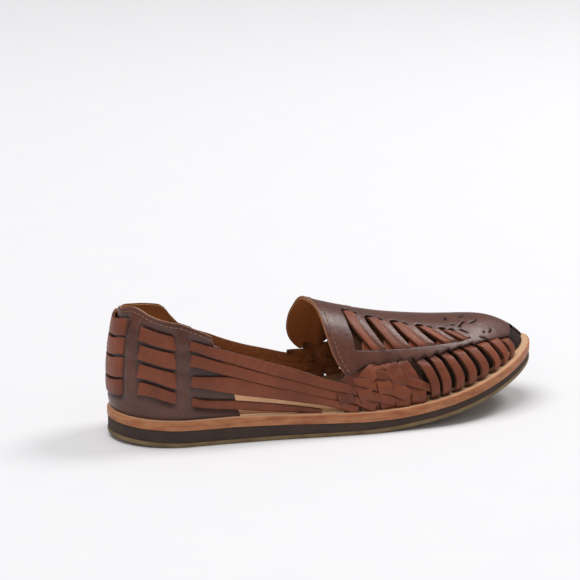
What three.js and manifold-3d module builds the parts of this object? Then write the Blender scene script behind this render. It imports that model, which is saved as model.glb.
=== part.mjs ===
// Woven leather huarache sandal, right shoe, standing empty on its sole.
// Millimetres, +Z up. +X points from heel to toe, +Y to the inner (medial) side of the foot.
// The origin is on the floor, under the middle of the shoe's bounding box.
import * as THREE from 'three';
import * as BufferGeometryUtils from 'three/addons/utils/BufferGeometryUtils.js';
import Module from 'manifold-3d';

const wasm = await Module();
wasm.setup();

// ---------------------------------------------------------------- driving dimensions
const SOLE_LENGTH = 262;          // heel edge to toe edge
const GAP = 0.3;                  // clearance between two neighbouring pieces
const OUTSOLE_THICKNESS = 2.4;    // gum rubber tread sheet
const MIDSOLE_HEEL = 7.15;        // dark midsole under the heel
const MIDSOLE_BALL = 3.9;         // and from the ball forwards
const MIDSOLE_TOE = 3.4;
const WEDGE_START = 0.25;         // shares of the length between which the midsole thins
const WEDGE_END = 0.65;
const LEATHER_THICKNESS = 5.4;    // stacked leather sole that carries the upper
const FOOTBED_THICKNESS = 2.0;
const WALL_OUTER = -0.6;          // upper's outer face, from the design surface
const WALL_THICKNESS = 2.0;
const OVERLAY_INNER = -0.3;       // vamp plug and heel counter lie on the upper
const OVERLAY_OUTER = 0.9;
const HEEL_ROUND = 0.16;          // share of the length taken by the round heel end
const TOE_ROUND = 0.30;           // and by the toe end
const TOE_POWER = 0.6;            // 0.5 is an ellipse, more is a more pointed toe
const TOE_SWING = 4.5;            // how far the toe tip leans to the inner side
const SWING_START = 0.45;
const HEEL_SPRING = 2.6;          // lift of the sole's back edge
const HEEL_SPRING_END = 0.18;
const TOE_SPRING = 26;            // lift of the sole's front edge
const TOE_SPRING_START = 0.52;
const TOE_SPRING_POWER = 1.83;
const HEEL_AXIS = 36;             // ribs fan round this point at the heel
const TOE_AXIS = 222;             // and round this one at the toe
const RIBS = 36;                  // steps along each side
const RISES = 11;                 // steps from feather line to spine
const OUTER_SIDE = -1;            // lateral side of a right shoe
const INNER_SIDE = 1;
const WELD = 0.001;               // corners closer than this are one corner
const NEAR_SPINE = 0.985;         // above this v the surface faces straight up
const DROP = 100;                 // fall of a path for each unit of v below the feather line
const FINE_RISE = 0.12;           // longest steps of a path in v and in x
const FINE_RUN = 14;
const UNDERCUT = 8;               // how far an inner form reaches below the feather line
const INNER_HUB_REACH = 3;        // a cutter swells to its hubs by these multiples of its depth
const OUTER_HUB_REACH = 4;

// Half widths of the sole from its centre line, between the two round ends.
const SOLE_WIDTHS = [
  { at: 0.16, outer: 33.3, inner: 30.2 },
  { at: 0.25, outer: 34.7, inner: 28.2 },
  { at: 0.35, outer: 36.9, inner: 26.8 },
  { at: 0.45, outer: 40.4, inner: 29.1 },
  { at: 0.55, outer: 43.4, inner: 34.5 },
  { at: 0.62, outer: 44.4, inner: 38.6 },
  { at: 0.70, outer: 44.8, inner: 42.3 },
];
// Ledge of sole that shows outside the upper.
const LEDGES = [
  { x: 0, width: 2.6 },
  { x: 20, width: 3.4 },
  { x: 50, width: 4.0 },
  { x: 200, width: 4.2 },
  { x: 262, width: 7.0 },
];
// Height above the floor of the last's top line; behind the throat it is only the last's shape.
const SPINE = [
  { x: 36, height: 112 },
  { x: 60, height: 100 },
  { x: 90, height: 85 },
  { x: 117, height: 71.5 },
  { x: 133, height: 66.2 },
  { x: 152, height: 61.2 },
  { x: 171, height: 57.4 },
  { x: 196, height: 54.0 },
  { x: 222, height: 52.0 },
];
// Shape of the cross sections: swell above the feather, rise of the side, fullness of the top.
const SECTIONS = [
  { x: 0, swell: 0.20, rise: 0.20, fullness: 0.88 },
  { x: 36, swell: 0.09, rise: 0.30, fullness: 0.86 },
  { x: 70, swell: 0.04, rise: 0.40, fullness: 0.80 },
  { x: 110, swell: 0.03, rise: 0.45, fullness: 0.72 },
  { x: 150, swell: 0.05, rise: 0.42, fullness: 0.56 },
  { x: 190, swell: 0.05, rise: 0.38, fullness: 0.52 },
  { x: 222, swell: 0.04, rise: 0.35, fullness: 0.50 },
  { x: 258, swell: 0.00, rise: 0.12, fullness: 0.50 },
];
// Top line of the upper: x is the station along the sole, v the share of the way to the spine.
const TOP_LINE_OUTER = [
  { x: 3, v: 0.555 },
  { x: 10, v: 0.545 },
  { x: 18, v: 0.513 },
  { x: 31, v: 0.475 },
  { x: 47, v: 0.438 },
  { x: 54, v: 0.412 },
  { x: 57, v: 0.357 },
  { x: 86, v: 0.306 },
  { x: 104, v: 0.280 },
  { x: 120, v: 0.233 },
  { x: 128, v: 0.228 },
  { x: 131, v: 0.262 },
];
const TOP_LINE_INNER = [
  { x: 3, v: 0.555 },
  { x: 10, v: 0.540 },
  { x: 18, v: 0.500 },
  { x: 28, v: 0.464 },
  { x: 44, v: 0.417 },
  { x: 50, v: 0.350 },
  { x: 64, v: 0.319 },
  { x: 78, v: 0.282 },
  { x: 95, v: 0.236 },
  { x: 110, v: 0.195 },
  { x: 119, v: 0.210 },
  { x: 124, v: 0.262 },
];
// Throat edge of the vamp, from the top line up to the spine.
const THROAT_OUTER = [
  { x: 127, v: 0.335 },
  { x: 123.4, v: 0.442 },
  { x: 121.5, v: 0.571 },
  { x: 120.7, v: 0.746 },
  { x: 119.6, v: 0.900 },
];
const THROAT_INNER = [
  { x: 119, v: 0.302 },
  { x: 114.5, v: 0.350 },
  { x: 112, v: 0.437 },
  { x: 112.2, v: 0.532 },
  { x: 114.4, v: 0.690 },
  { x: 116, v: 0.880 },
];
const THROAT_TIP = { x: 117, v: 1 };
// Rear corners of the plug, where the throat band meets the weave.
const PLUG_CORNER_OUTER = { x: 131.5, v: 0.275 };
const PLUG_CORNER_INNER = { x: 124.5, v: 0.275 };
// Lower edge of the smooth vamp plug, from the throat band to the peep toe.
const PLUG_EDGE = [
  { x: 143, v: 0.377 },
  { x: 154, v: 0.408 },
  { x: 166, v: 0.436 },
  { x: 178, v: 0.457 },
  { x: 192, v: 0.508 },
  { x: 206, v: 0.530 },
  { x: 220, v: 0.535 },
  { x: 240, v: 0.458 },
  { x: 250, v: 0.390 },
  { x: 255, v: 0.380 },
];
const PEEP_TOP = 0.36;            // v of the plug's front edge at the toe tip
const PEEP_SIDE = 249;            // station of the peep toe's two lower corners
const PEEP_SHOULDER = 6;          // from there to the point where its edge levels out
// Edge of the peep opening on each side, from below the feather line to the toe tip.
const PEEP_EDGE = [
  { x: PEEP_SIDE, v: -0.2 },
  { x: PEEP_SIDE, v: 0.20 },
  { x: PEEP_SIDE + 1, v: 0.38 },
  { x: PEEP_SIDE + PEEP_SHOULDER, v: 0.37 },
  { x: SOLE_LENGTH, v: PEEP_TOP },
];
// Window in the plug that shows the woven chevrons, one each side of the spine strip.
const CHEVRON_WINDOW = [
  { x: 138, v: 0.490 },
  { x: 153, v: 0.505 },
  { x: 170, v: 0.532 },
  { x: 186, v: 0.552 },
  { x: 200, v: 0.580 },
  { x: 204, v: 0.660 },
  { x: 194, v: 0.700 },
  { x: 180, v: 0.757 },
  { x: 165, v: 0.800 },
  { x: 151, v: 0.850 },
  { x: 137, v: 0.895 },
  { x: 137, v: 0.690 },
];
// Gaps between the fisherman loops: station at the top and bottom of each, height of its top.
const LOOP_GAPS = [
  { top: 239.5, bottom: 244.5, high: 0.38, width: 1.8 },
  { top: 224, bottom: 235.5, high: 0.46, width: 2.2 },
  { top: 214.5, bottom: 226, high: 0.46, width: 2.8 },
  { top: 206, bottom: 217, high: 0.45, width: 3.0 },
  { top: 198, bottom: 207.5, high: 0.43, width: 3.0 },
  { top: 190.5, bottom: 198.5, high: 0.40, width: 2.8 },
  { top: 183, bottom: 189.5, high: 0.37, width: 2.6 },
];
const LOOP_FOOT = 0.07;
// Gap between the third and fourth side straps, and the open wedge below the fourth.
const STRAP_GAPS = [
  [{ x: 67, v: 0.084 }, { x: 113, v: 0.042 }, { x: 113, v: 0.056 }, { x: 67, v: 0.120 }],
  [{ x: 69, v: -0.02 }, { x: 105, v: -0.02 }, { x: 105, v: 0.004 }, { x: 69, v: 0.036 }],
];
// How far each cutter reaches inside and outside the design surface.
const FOOT_CUT = { inside: -14, outside: 16 };
const PEEP_CUT = { inside: -9, outside: 9 };
const PLUG_CUT = { inside: -6, outside: 12 };
const GAP_CUT = { inside: -7, outside: 4 };
const WINDOW_CUT = { inside: -5, outside: 5 };
// Points to which the three large cutters close inside and outside the shoe.
const FOOT_HUBS = { inside: new THREE.Vector3(78, 0, 26), outside: new THREE.Vector3(62, 0, 165) };
const PEEP_HUBS = { inside: new THREE.Vector3(238, 4, 32), outside: new THREE.Vector3(290, 4, 28) };
const PLUG_HUBS = { inside: new THREE.Vector3(172, 2, 22), outside: new THREE.Vector3(172, 2, 150) };
// Side view of the block that the heel counter fills; its front edge leans back.
const COUNTER_REACH = 60;
const COUNTER_SIDE = [
  { x: -10, z: 5 },
  { x: 69, z: 5 },
  { x: 66.5, z: 26 },
  { x: 64, z: 37 },
  { x: 60, z: 47 },
  { x: 56, z: 55 },
  { x: 54, z: 63 },
  { x: 54, z: 130 },
  { x: -10, z: 130 },
];

// ---------------------------------------------------------------- curves from tables
function clamp(value, low, high) {
  return Math.min(Math.max(value, low), high);
}

/** Smooth curve through a table's rows: cubic pieces with slopes from the neighbours. */
function curve(rows, key, along = 'x') {
  const slopes = rows.map((row, i) => {
    const before = rows[Math.max(i - 1, 0)];
    const after = rows[Math.min(i + 1, rows.length - 1)];
    return (after[key] - before[key]) / (after[along] - before[along]);
  });
  return (at) => {
    const place = clamp(at, rows[0][along], rows[rows.length - 1][along]);
    let i = 0;
    while (i < rows.length - 2 && place > rows[i + 1][along]) {
      i += 1;
    }
    const step = rows[i + 1][along] - rows[i][along];
    const s = (place - rows[i][along]) / step;
    const s2 = s * s;
    const s3 = s2 * s;
    return rows[i][key] * (2 * s3 - 3 * s2 + 1) + slopes[i] * step * (s3 - 2 * s2 + s)
      + rows[i + 1][key] * (3 * s2 - 2 * s3) + slopes[i + 1] * step * (s3 - s2);
  };
}

const outerWidth = curve(SOLE_WIDTHS, 'outer', 'at');
const innerWidth = curve(SOLE_WIDTHS, 'inner', 'at');
const ledgeWidth = curve(LEDGES, 'width');
const spineHeight = curve(SPINE, 'height');
const swell = curve(SECTIONS, 'swell');
const rise = curve(SECTIONS, 'rise');
const fullness = curve(SECTIONS, 'fullness');

// ---------------------------------------------------------------- sole outline and levels
function centreLine(x) {
  const share = clamp((x / SOLE_LENGTH - SWING_START) / (1 - SWING_START), 0, 1);
  return TOE_SWING * share * share;
}

function halfWidth(x, side) {
  const t = clamp(x / SOLE_LENGTH, 0, 1);
  const width = side === OUTER_SIDE ? outerWidth(t) : innerWidth(t);
  const heel = clamp(HEEL_ROUND - t, 0, 1) / HEEL_ROUND;
  const toe = clamp(t - 1 + TOE_ROUND, 0, 1) / TOE_ROUND;
  return width * Math.sqrt(Math.max(1 - heel * heel, 0)) * Math.max(1 - toe * toe, 0) ** TOE_POWER;
}

/** Station x for a step q from 0 at the heel to 1 at the toe, closer together at both ends. */
function stationOf(q) {
  return SOLE_LENGTH * (1 - Math.cos(Math.PI * q)) / 2;
}

function stepOf(x) {
  return Math.acos(1 - 2 * clamp(x / SOLE_LENGTH, 0, 1)) / Math.PI;
}

function solePoint(q, side) {
  const x = stationOf(clamp(q, 0, 1));
  return new THREE.Vector2(x, centreLine(x) + side * halfWidth(x, side));
}

/** Point on the feather line, where the upper meets the sole. */
function featherPoint(q, side) {
  const point = solePoint(q, side);
  const inset = ledgeWidth(point.x);
  if (q <= 0) return new THREE.Vector2(inset, 0);
  if (q >= 1) return new THREE.Vector2(SOLE_LENGTH - inset, centreLine(SOLE_LENGTH));
  const small = 0.001;
  const along = solePoint(q + small, side).sub(solePoint(q - small, side)).normalize();
  return point.add(new THREE.Vector2(along.y, -along.x).multiplyScalar(side * inset));
}

function floorLift(x) {
  const t = clamp(x / SOLE_LENGTH, 0, 1);
  const toe = Math.max(t - TOE_SPRING_START, 0) / (1 - TOE_SPRING_START);
  const heel = Math.max(HEEL_SPRING_END - t, 0) / HEEL_SPRING_END;
  return TOE_SPRING * toe ** TOE_SPRING_POWER + HEEL_SPRING * heel * heel;
}

function midsoleThickness(x) {
  const t = clamp(x / SOLE_LENGTH, 0, 1);
  const wedge = clamp((t - WEDGE_START) / (WEDGE_END - WEDGE_START), 0, 1);
  const front = clamp((t - WEDGE_END) / (1 - WEDGE_END), 0, 1);
  return MIDSOLE_HEEL + (MIDSOLE_BALL - MIDSOLE_HEEL) * wedge + (MIDSOLE_TOE - MIDSOLE_BALL) * front;
}

const outsoleTop = (x) => floorLift(x) + OUTSOLE_THICKNESS;
const midsoleTop = (x) => outsoleTop(x) + midsoleThickness(x);
const leatherTop = (x) => midsoleTop(x) + LEATHER_THICKNESS;
const featherHeight = (x) => leatherTop(x) + GAP;

// ---------------------------------------------------------------- design surface of the upper
/** Point of the last surface at step q, share v of the way from feather to spine. */
function lastPoint(q, side, v) {
  const foot = featherPoint(q, side);
  const station = stationOf(q);
  const axisX = clamp(station, HEEL_AXIS, TOE_AXIS);
  const axis = new THREE.Vector2(axisX, centreLine(axisX));
  const low = featherHeight(foot.x);
  const tall = spineHeight(axisX) - low;
  const w = [(1 - v) ** 3, 3 * (1 - v) ** 2 * v, 3 * (1 - v) * v * v, v ** 3];
  const reach = w[0] + w[1] * (1 + swell(station)) + w[2] * fullness(station);
  const lift = w[1] * rise(station) + w[2] + w[3];
  const flat = axis.clone().add(foot.sub(axis).multiplyScalar(reach));
  return new THREE.Vector3(flat.x, flat.y, low + tall * lift);
}

function lastNormal(q, side, v) {
  const dq = 0.002;
  const dv = 0.01;
  if (v > NEAR_SPINE) {
    const x = clamp(stationOf(q), HEEL_AXIS, TOE_AXIS);
    const slope = (spineHeight(x + 1) - spineHeight(x - 1)) / 2;
    return new THREE.Vector3(-slope, 0, 1).normalize();
  }
  const rising = lastPoint(q, side, v + dv).sub(lastPoint(q, side, v));
  if (q < dq || q > 1 - dq) {
    const heading = q < dq ? 1 : -1;
    return new THREE.Vector3(0, heading, 0).cross(rising).multiplyScalar(-1).normalize();
  }
  const along = lastPoint(q + dq, side, v).sub(lastPoint(q - dq, side, v));
  return along.cross(rising).multiplyScalar(side === OUTER_SIDE ? 1 : -1).normalize();
}

/** Point moved out from the last surface along its normal. */
function skinPoint(q, side, v, out) {
  return lastPoint(q, side, v).addScaledVector(lastNormal(q, side, v), out);
}

// ---------------------------------------------------------------- solids
/** Triangle soup gathered face by face, then welded into a manifold. */
class Skin {
  constructor() {
    this.numbers = [];
  }

  face(...points) {
    for (let i = 1; i < points.length - 1; i += 1) {
      for (const point of [points[0], points[i], points[i + 1]]) {
        this.numbers.push(point.x, point.y, point.z);
      }
    }
  }

  /** Quads between two rows of points. */
  strip(low, high) {
    for (let i = 0; i < low.length - 1; i += 1) {
      this.face(low[i], low[i + 1], high[i + 1], high[i]);
    }
  }

  geometry() {
    const soup = new THREE.BufferGeometry();
    soup.setAttribute('position', new THREE.Float32BufferAttribute(this.numbers, 3));
    return soup;
  }

  manifold() {
    return toManifold(this.geometry());
  }
}

function toManifold(geometry) {
  const welded = BufferGeometryUtils.mergeVertices(geometry, WELD);
  const index = welded.index.array;
  const kept = [];
  for (let i = 0; i < index.length; i += 3) {
    const [a, b, c] = [index[i], index[i + 1], index[i + 2]];
    if (a !== b && b !== c && c !== a) kept.push(a, b, c);
  }
  const vertProperties = Float32Array.from(welded.attributes.position.array);
  const mesh = new wasm.Mesh({ numProp: 3, vertProperties, triVerts: Uint32Array.from(kept) });
  mesh.merge();
  return new wasm.Manifold(mesh);
}

/** Steps round the shoe: outer side from toe to heel, then inner side from heel to toe. */
function roundTheShoe() {
  const steps = [];
  for (let i = RIBS; i >= 0; i -= 1) steps.push({ q: i / RIBS, side: OUTER_SIDE });
  for (let i = 1; i <= RIBS; i += 1) steps.push({ q: i / RIBS, side: INNER_SIDE });
  return steps;
}

/** One sheet of the sole between two levels, to the sole's full outline. */
function soleSheet(lowLevel, highLevel) {
  const skin = new Skin();
  const at = (q, side, level) => {
    const point = solePoint(q, side);
    return new THREE.Vector3(point.x, point.y, level(point.x));
  };
  for (let i = 0; i < RIBS; i += 1) {
    const [a, b] = [i / RIBS, (i + 1) / RIBS];
    const corner = (q, side) => ({ low: at(q, side, lowLevel), high: at(q, side, highLevel) });
    const [outerA, outerB] = [corner(a, OUTER_SIDE), corner(b, OUTER_SIDE)];
    const [innerA, innerB] = [corner(a, INNER_SIDE), corner(b, INNER_SIDE)];
    skin.face(outerA.high, outerB.high, innerB.high, innerA.high);
    skin.face(outerA.low, innerA.low, innerB.low, outerB.low);
    skin.face(outerA.low, outerB.low, outerB.high, outerA.high);
    skin.face(innerA.low, innerA.high, innerB.high, innerB.low);
  }
  return skin.manifold();
}

/** Whole last offset by out, its flat underside dropped by drop. */
function lastSolid(out, drop) {
  const skin = new Skin();
  const steps = roundTheShoe();
  const rows = [];
  for (let j = 0; j <= RISES; j += 1) {
    const v = j / RISES;
    rows.push(steps.map(({ q, side }) => {
      const point = skinPoint(q, side, v, out);
      if (j === 0) point.z = featherHeight(featherPoint(q, side).x);
      return point;
    }));
  }
  const base = rows[0].map((point) => new THREE.Vector3(point.x, point.y, point.z - drop));
  if (drop > 0) rows.unshift(base);
  for (let j = 0; j < rows.length - 1; j += 1) skin.strip(rows[j + 1], rows[j]);
  const mirror = (i) => steps.length - 1 - i;
  for (let i = 0; i < RIBS; i += 1) {
    skin.face(base[i], base[i + 1], base[mirror(i + 1)], base[mirror(i)]);
  }
  return skin.manifold();
}

/** Points (x, v) along a path, with extra points so that long steps follow the surface. */
function finePath(rows, side) {
  const path = [];
  for (let i = 0; i < rows.length - 1; i += 1) {
    const [a, b] = [rows[i], rows[i + 1]];
    const rises = Math.ceil(Math.abs(b.v - a.v) / FINE_RISE);
    const runs = Math.ceil(Math.abs(b.x - a.x) / FINE_RUN);
    const pieces = Math.max(1, rises, runs);
    for (let k = 0; k < pieces; k += 1) {
      const s = k / pieces;
      path.push({ side, x: a.x + (b.x - a.x) * s, v: a.v + (b.v - a.v) * s });
    }
  }
  return path;
}

/** Ring of surface points for a path; below the feather line it drops straight down. */
function ringAt(path, out) {
  return path.map(({ x, v, side }) => {
    const point = skinPoint(stepOf(x), side, Math.max(v, 0), out);
    if (v < 0) point.z += v * DROP;
    return point;
  });
}

/** Solid between an inner and an outer ring, each closed to a hub point of its own. */
function hubCutter(path, cut, hubs) {
  const skin = new Skin();
  const inner = ringAt(path, cut.inside);
  const outer = ringAt(path, cut.outside);
  for (let i = 0; i < path.length; i += 1) {
    const next = (i + 1) % path.length;
    skin.face(inner[i], inner[next], outer[next], outer[i]);
    skin.face(outer[i], outer[next], hubs.outside);
    skin.face(inner[next], inner[i], hubs.inside);
  }
  return upright(skin);
}

/** Cutter through the wall over a closed (x, v) path on one side, swelling to both faces. */
function wallCutter(rows, side, cut) {
  const path = finePath([...rows, rows[0]], side);
  const hub = (out) => {
    const ring = ringAt(path, out);
    return ring.reduce((sum, point) => sum.add(point), new THREE.Vector3()).divideScalar(ring.length);
  };
  const hubs = { inside: hub(INNER_HUB_REACH * cut.inside), outside: hub(OUTER_HUB_REACH * cut.outside) };
  return hubCutter(path, cut, hubs);
}

/** A gathered skin as a solid, turned inside out where its faces point in. */
function upright(skin) {
  const welded = BufferGeometryUtils.mergeVertices(skin.geometry(), WELD);
  const index = welded.index.array;
  const place = new THREE.Vector3();
  const next = new THREE.Vector3();
  const last = new THREE.Vector3();
  let volume = 0;
  for (let i = 0; i < index.length; i += 3) {
    place.fromBufferAttribute(welded.attributes.position, index[i]);
    next.fromBufferAttribute(welded.attributes.position, index[i + 1]);
    last.fromBufferAttribute(welded.attributes.position, index[i + 2]);
    volume += place.dot(next.cross(last));
  }
  if (volume < 0) {
    for (let i = 0; i < index.length; i += 3) {
      [index[i + 1], index[i + 2]] = [index[i + 2], index[i + 1]];
    }
  }
  return toManifold(welded);
}

// ---------------------------------------------------------------- pieces
const bothSides = (rows, make) => [OUTER_SIDE, INNER_SIDE].map((side) => make(rows, side));

/** The foot opening: heel collar, side top lines and throat in one closed loop. */
function footOpening() {
  const outerLoop = finePath([...TOP_LINE_OUTER, ...THROAT_OUTER, THROAT_TIP], OUTER_SIDE);
  const innerLoop = finePath([...TOP_LINE_INNER, ...THROAT_INNER, THROAT_TIP], INNER_SIDE);
  const heelBack = { side: OUTER_SIDE, x: 0, v: TOP_LINE_OUTER[0].v };
  const tip = { side: OUTER_SIDE, ...THROAT_TIP };
  const path = [heelBack, ...outerLoop, tip, ...innerLoop.reverse()];
  return hubCutter(path, FOOT_CUT, FOOT_HUBS);
}

/** The peep toe: the wall is open between the plug's front edge and the sole. */
function peepToe() {
  const outer = finePath(PEEP_EDGE, OUTER_SIDE);
  const inner = finePath(PEEP_EDGE, INNER_SIDE);
  const tip = { side: OUTER_SIDE, x: SOLE_LENGTH, v: PEEP_TOP };
  const ring = [...outer, tip, ...inner.reverse()];
  return hubCutter(ring, PEEP_CUT, PEEP_HUBS);
}

function gapCutters() {
  const cutters = [];
  for (const { top, bottom, high, width } of LOOP_GAPS) {
    const rows = [
      { x: bottom - width, v: LOOP_FOOT },
      { x: bottom, v: LOOP_FOOT },
      { x: top, v: high },
      { x: top - width, v: high },
    ];
    cutters.push(...bothSides(rows, (path, side) => wallCutter(path, side, GAP_CUT)));
  }
  for (const rows of STRAP_GAPS) {
    cutters.push(...bothSides(rows, (path, side) => wallCutter(path, side, GAP_CUT)));
  }
  return cutters;
}

/** Straps, weave, loops and vamp lining: one hollow wall, joined where its strips cross. */
function makeUpper() {
  let wall = lastSolid(WALL_OUTER, 0).subtract(lastSolid(WALL_OUTER - WALL_THICKNESS, UNDERCUT));
  wall = wall.subtract(footOpening()).subtract(peepToe());
  for (const cutter of gapCutters()) {
    wall = wall.subtract(cutter);
  }
  return wall;
}

const overlaySheet = lastSolid(OVERLAY_OUTER, 0).subtract(lastSolid(OVERLAY_INNER, UNDERCUT));

/** Smooth overlay: throat band, spine strip, two side frames and toe cap in one sheet. */
function makeVampPlug() {
  const rim = [...PLUG_EDGE, { x: SOLE_LENGTH, v: PEEP_TOP }];
  const half = (throat, corner, side) => finePath([THROAT_TIP, ...throat.toReversed(), corner, ...rim], side);
  const outer = half(THROAT_OUTER, PLUG_CORNER_OUTER, OUTER_SIDE);
  const inner = half(THROAT_INNER, PLUG_CORNER_INNER, INNER_SIDE);
  const tip = { side: OUTER_SIDE, x: SOLE_LENGTH, v: PEEP_TOP };
  const ring = [...outer, tip, ...inner.slice(1).reverse()];
  let plug = overlaySheet.intersect(hubCutter(ring, PLUG_CUT, PLUG_HUBS));
  for (const window of bothSides(CHEVRON_WINDOW, (rows, side) => wallCutter(rows, side, WINDOW_CUT))) {
    plug = plug.subtract(window);
  }
  return plug;
}

/** Heel counter: one sheet round the heel, as high as the collar. */
function makeHeelCounter() {
  const outline = new THREE.Shape(COUNTER_SIDE.map(({ x, z }) => new THREE.Vector2(x, z)));
  const block = new THREE.ExtrudeGeometry(outline, { depth: 2 * COUNTER_REACH, bevelEnabled: false });
  block.rotateX(Math.PI / 2).translate(0, COUNTER_REACH, 0);
  block.deleteAttribute('normal');
  block.deleteAttribute('uv');
  return overlaySheet.intersect(toManifold(block)).subtract(footOpening());
}

/** Footbed: a thin sheet that fills the inside of the upper on top of the sole. */
function makeFootbed() {
  const slab = soleSheet((x) => leatherTop(x) + GAP, (x) => leatherTop(x) + GAP + FOOTBED_THICKNESS);
  return slab.intersect(lastSolid(WALL_OUTER - WALL_THICKNESS - GAP, UNDERCUT));
}

function toGeometry(solid) {
  const { vertProperties, triVerts } = solid.getMesh();
  const geometry = new THREE.BufferGeometry();
  geometry.setAttribute('position', new THREE.Float32BufferAttribute(vertProperties, 3));
  geometry.setIndex(Array.from(triVerts));
  geometry.computeVertexNormals();
  return geometry;
}

const PIECES = [
  { name: 'outsole', color: 0x8a7a52, roughness: 0.75, make: () => soleSheet(floorLift, outsoleTop) },
  {
    name: 'midsole', color: 0x46342c, roughness: 0.8,
    make: () => soleSheet((x) => outsoleTop(x) + GAP, midsoleTop),
  },
  {
    name: 'leather_sole', color: 0xc8875a, roughness: 0.55,
    make: () => soleSheet((x) => midsoleTop(x) + GAP, leatherTop),
  },
  { name: 'footbed', color: 0xd9ab7c, roughness: 0.6, make: makeFootbed },
  { name: 'upper', color: 0x7d4a36, roughness: 0.5, make: makeUpper },
  { name: 'vamp_plug', color: 0x6a4238, roughness: 0.42, make: makeVampPlug },
  { name: 'heel_counter', color: 0x5c3830, roughness: 0.45, make: makeHeelCounter },
];

const sandal = new THREE.Group();
for (const { name, color, roughness, make } of PIECES) {
  const material = new THREE.MeshStandardMaterial({ color, roughness, metalness: 0 });
  const mesh = new THREE.Mesh(toGeometry(make()), material);
  mesh.name = name;
  sandal.add(mesh);
}
const middle = new THREE.Box3().setFromObject(sandal).getCenter(new THREE.Vector3());
sandal.position.set(-middle.x, -middle.y, 0);

export default sandal;
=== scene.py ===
"""Woven leather huarache sandal, right shoe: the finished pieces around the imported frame.

Lengths in the tables are millimetres along the last: x is the station from the heel edge and
v the share of the way up from the feather line (0) to the spine (1). Meshes are in metres.
"""

import logging
import math
from dataclasses import dataclass, field
from enum import Enum, IntEnum
from typing import Callable, NamedTuple, Sequence

import bmesh
import bpy
import numpy as np
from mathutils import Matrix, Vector
from mathutils.geometry import delaunay_2d_cdt


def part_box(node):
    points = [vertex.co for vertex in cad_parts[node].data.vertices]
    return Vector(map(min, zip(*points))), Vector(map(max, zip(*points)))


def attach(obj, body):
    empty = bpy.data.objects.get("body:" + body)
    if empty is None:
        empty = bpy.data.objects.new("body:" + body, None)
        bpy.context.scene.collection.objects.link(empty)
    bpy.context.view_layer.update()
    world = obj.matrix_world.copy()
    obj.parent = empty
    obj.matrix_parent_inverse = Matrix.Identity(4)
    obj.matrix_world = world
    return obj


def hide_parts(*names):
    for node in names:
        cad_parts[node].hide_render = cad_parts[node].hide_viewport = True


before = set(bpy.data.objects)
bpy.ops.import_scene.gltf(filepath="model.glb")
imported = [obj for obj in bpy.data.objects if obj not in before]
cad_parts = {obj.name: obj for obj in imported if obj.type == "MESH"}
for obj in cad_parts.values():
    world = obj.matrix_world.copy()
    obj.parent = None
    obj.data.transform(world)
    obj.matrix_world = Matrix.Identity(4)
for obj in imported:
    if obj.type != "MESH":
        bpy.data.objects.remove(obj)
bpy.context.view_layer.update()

MM = 0.001
BODY = "root"
log = logging.getLogger("huarache")
Array = np.ndarray
Colour = tuple[float, float, float]


class Side(IntEnum):
    """Side of a right shoe, as the sign of y."""

    OUTER = -1
    INNER = 1


class Slot(Enum):
    """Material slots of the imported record."""

    GUM = "gum_rubber"
    RUBBER = "dark_rubber"
    SOLE_LEATHER = "sole_leather"
    FOOTBED = "footbed_leather"
    STRAP = "strap_leather"
    SMOOTH = "smooth_leather"


class Chart(Enum):
    """How a flat pattern is laid on the last."""

    HEEL = "heel"  # first axis runs round the heel, second is v
    VAMP = "vamp"  # first axis runs to the toe, second crosses the spine


# ------------------------------------------------------------------ curves and the last


@dataclass(frozen=True)
class Curve:
    """Smooth line through the points of a table, with slopes from each point's neighbours."""

    places: tuple[float, ...]
    values: tuple[float, ...]

    def __call__(self, at: Array | float) -> Array:
        """Values at the given places, held constant past both ends.

        Args:
            at: places along the table.

        Returns:
            Interpolated values.
        """
        xs, ys = np.array(self.places, float), np.array(self.values, float)
        before = np.maximum(np.arange(len(xs)) - 1, 0)
        after = np.minimum(np.arange(len(xs)) + 1, len(xs) - 1)
        slopes = (ys[after] - ys[before]) / (xs[after] - xs[before])
        place = np.clip(at, xs[0], xs[-1])
        i = np.clip(np.searchsorted(xs, place, side="right") - 1, 0, len(xs) - 2)
        step = xs[i + 1] - xs[i]
        s = (place - xs[i]) / step
        low = ys[i] * (2 * s**3 - 3 * s**2 + 1) + slopes[i] * step * (s**3 - 2 * s**2 + s)
        high = ys[i + 1] * (3 * s**2 - 2 * s**3) + slopes[i + 1] * step * (s**3 - s**2)
        return low + high


def column(rows: Sequence[NamedTuple], key: str, along: str = "x") -> Curve:
    """One column of a table as a curve.

    Args:
        rows: the table.
        key: name of the column with the values.
        along: name of the column with the places.

    Returns:
        The curve.
    """
    return Curve(tuple(getattr(r, along) for r in rows), tuple(getattr(r, key) for r in rows))


def smooth(value: Array | float, low: float, high: float) -> Array:
    """Soft step from 0 at low to 1 at high."""
    t = np.clip((np.asarray(value, float) - low) / (high - low), 0, 1)
    return t * t * (3 - 2 * t)


class Width(NamedTuple):
    """Half widths of the sole at a share of its length."""

    at: float
    outer: float
    inner: float


class Section(NamedTuple):
    """Shape of one cross section of the last."""

    x: float
    swell: float
    rise: float
    fullness: float


class Level(NamedTuple):
    """A height or width at a station."""

    x: float
    size: float


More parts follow.
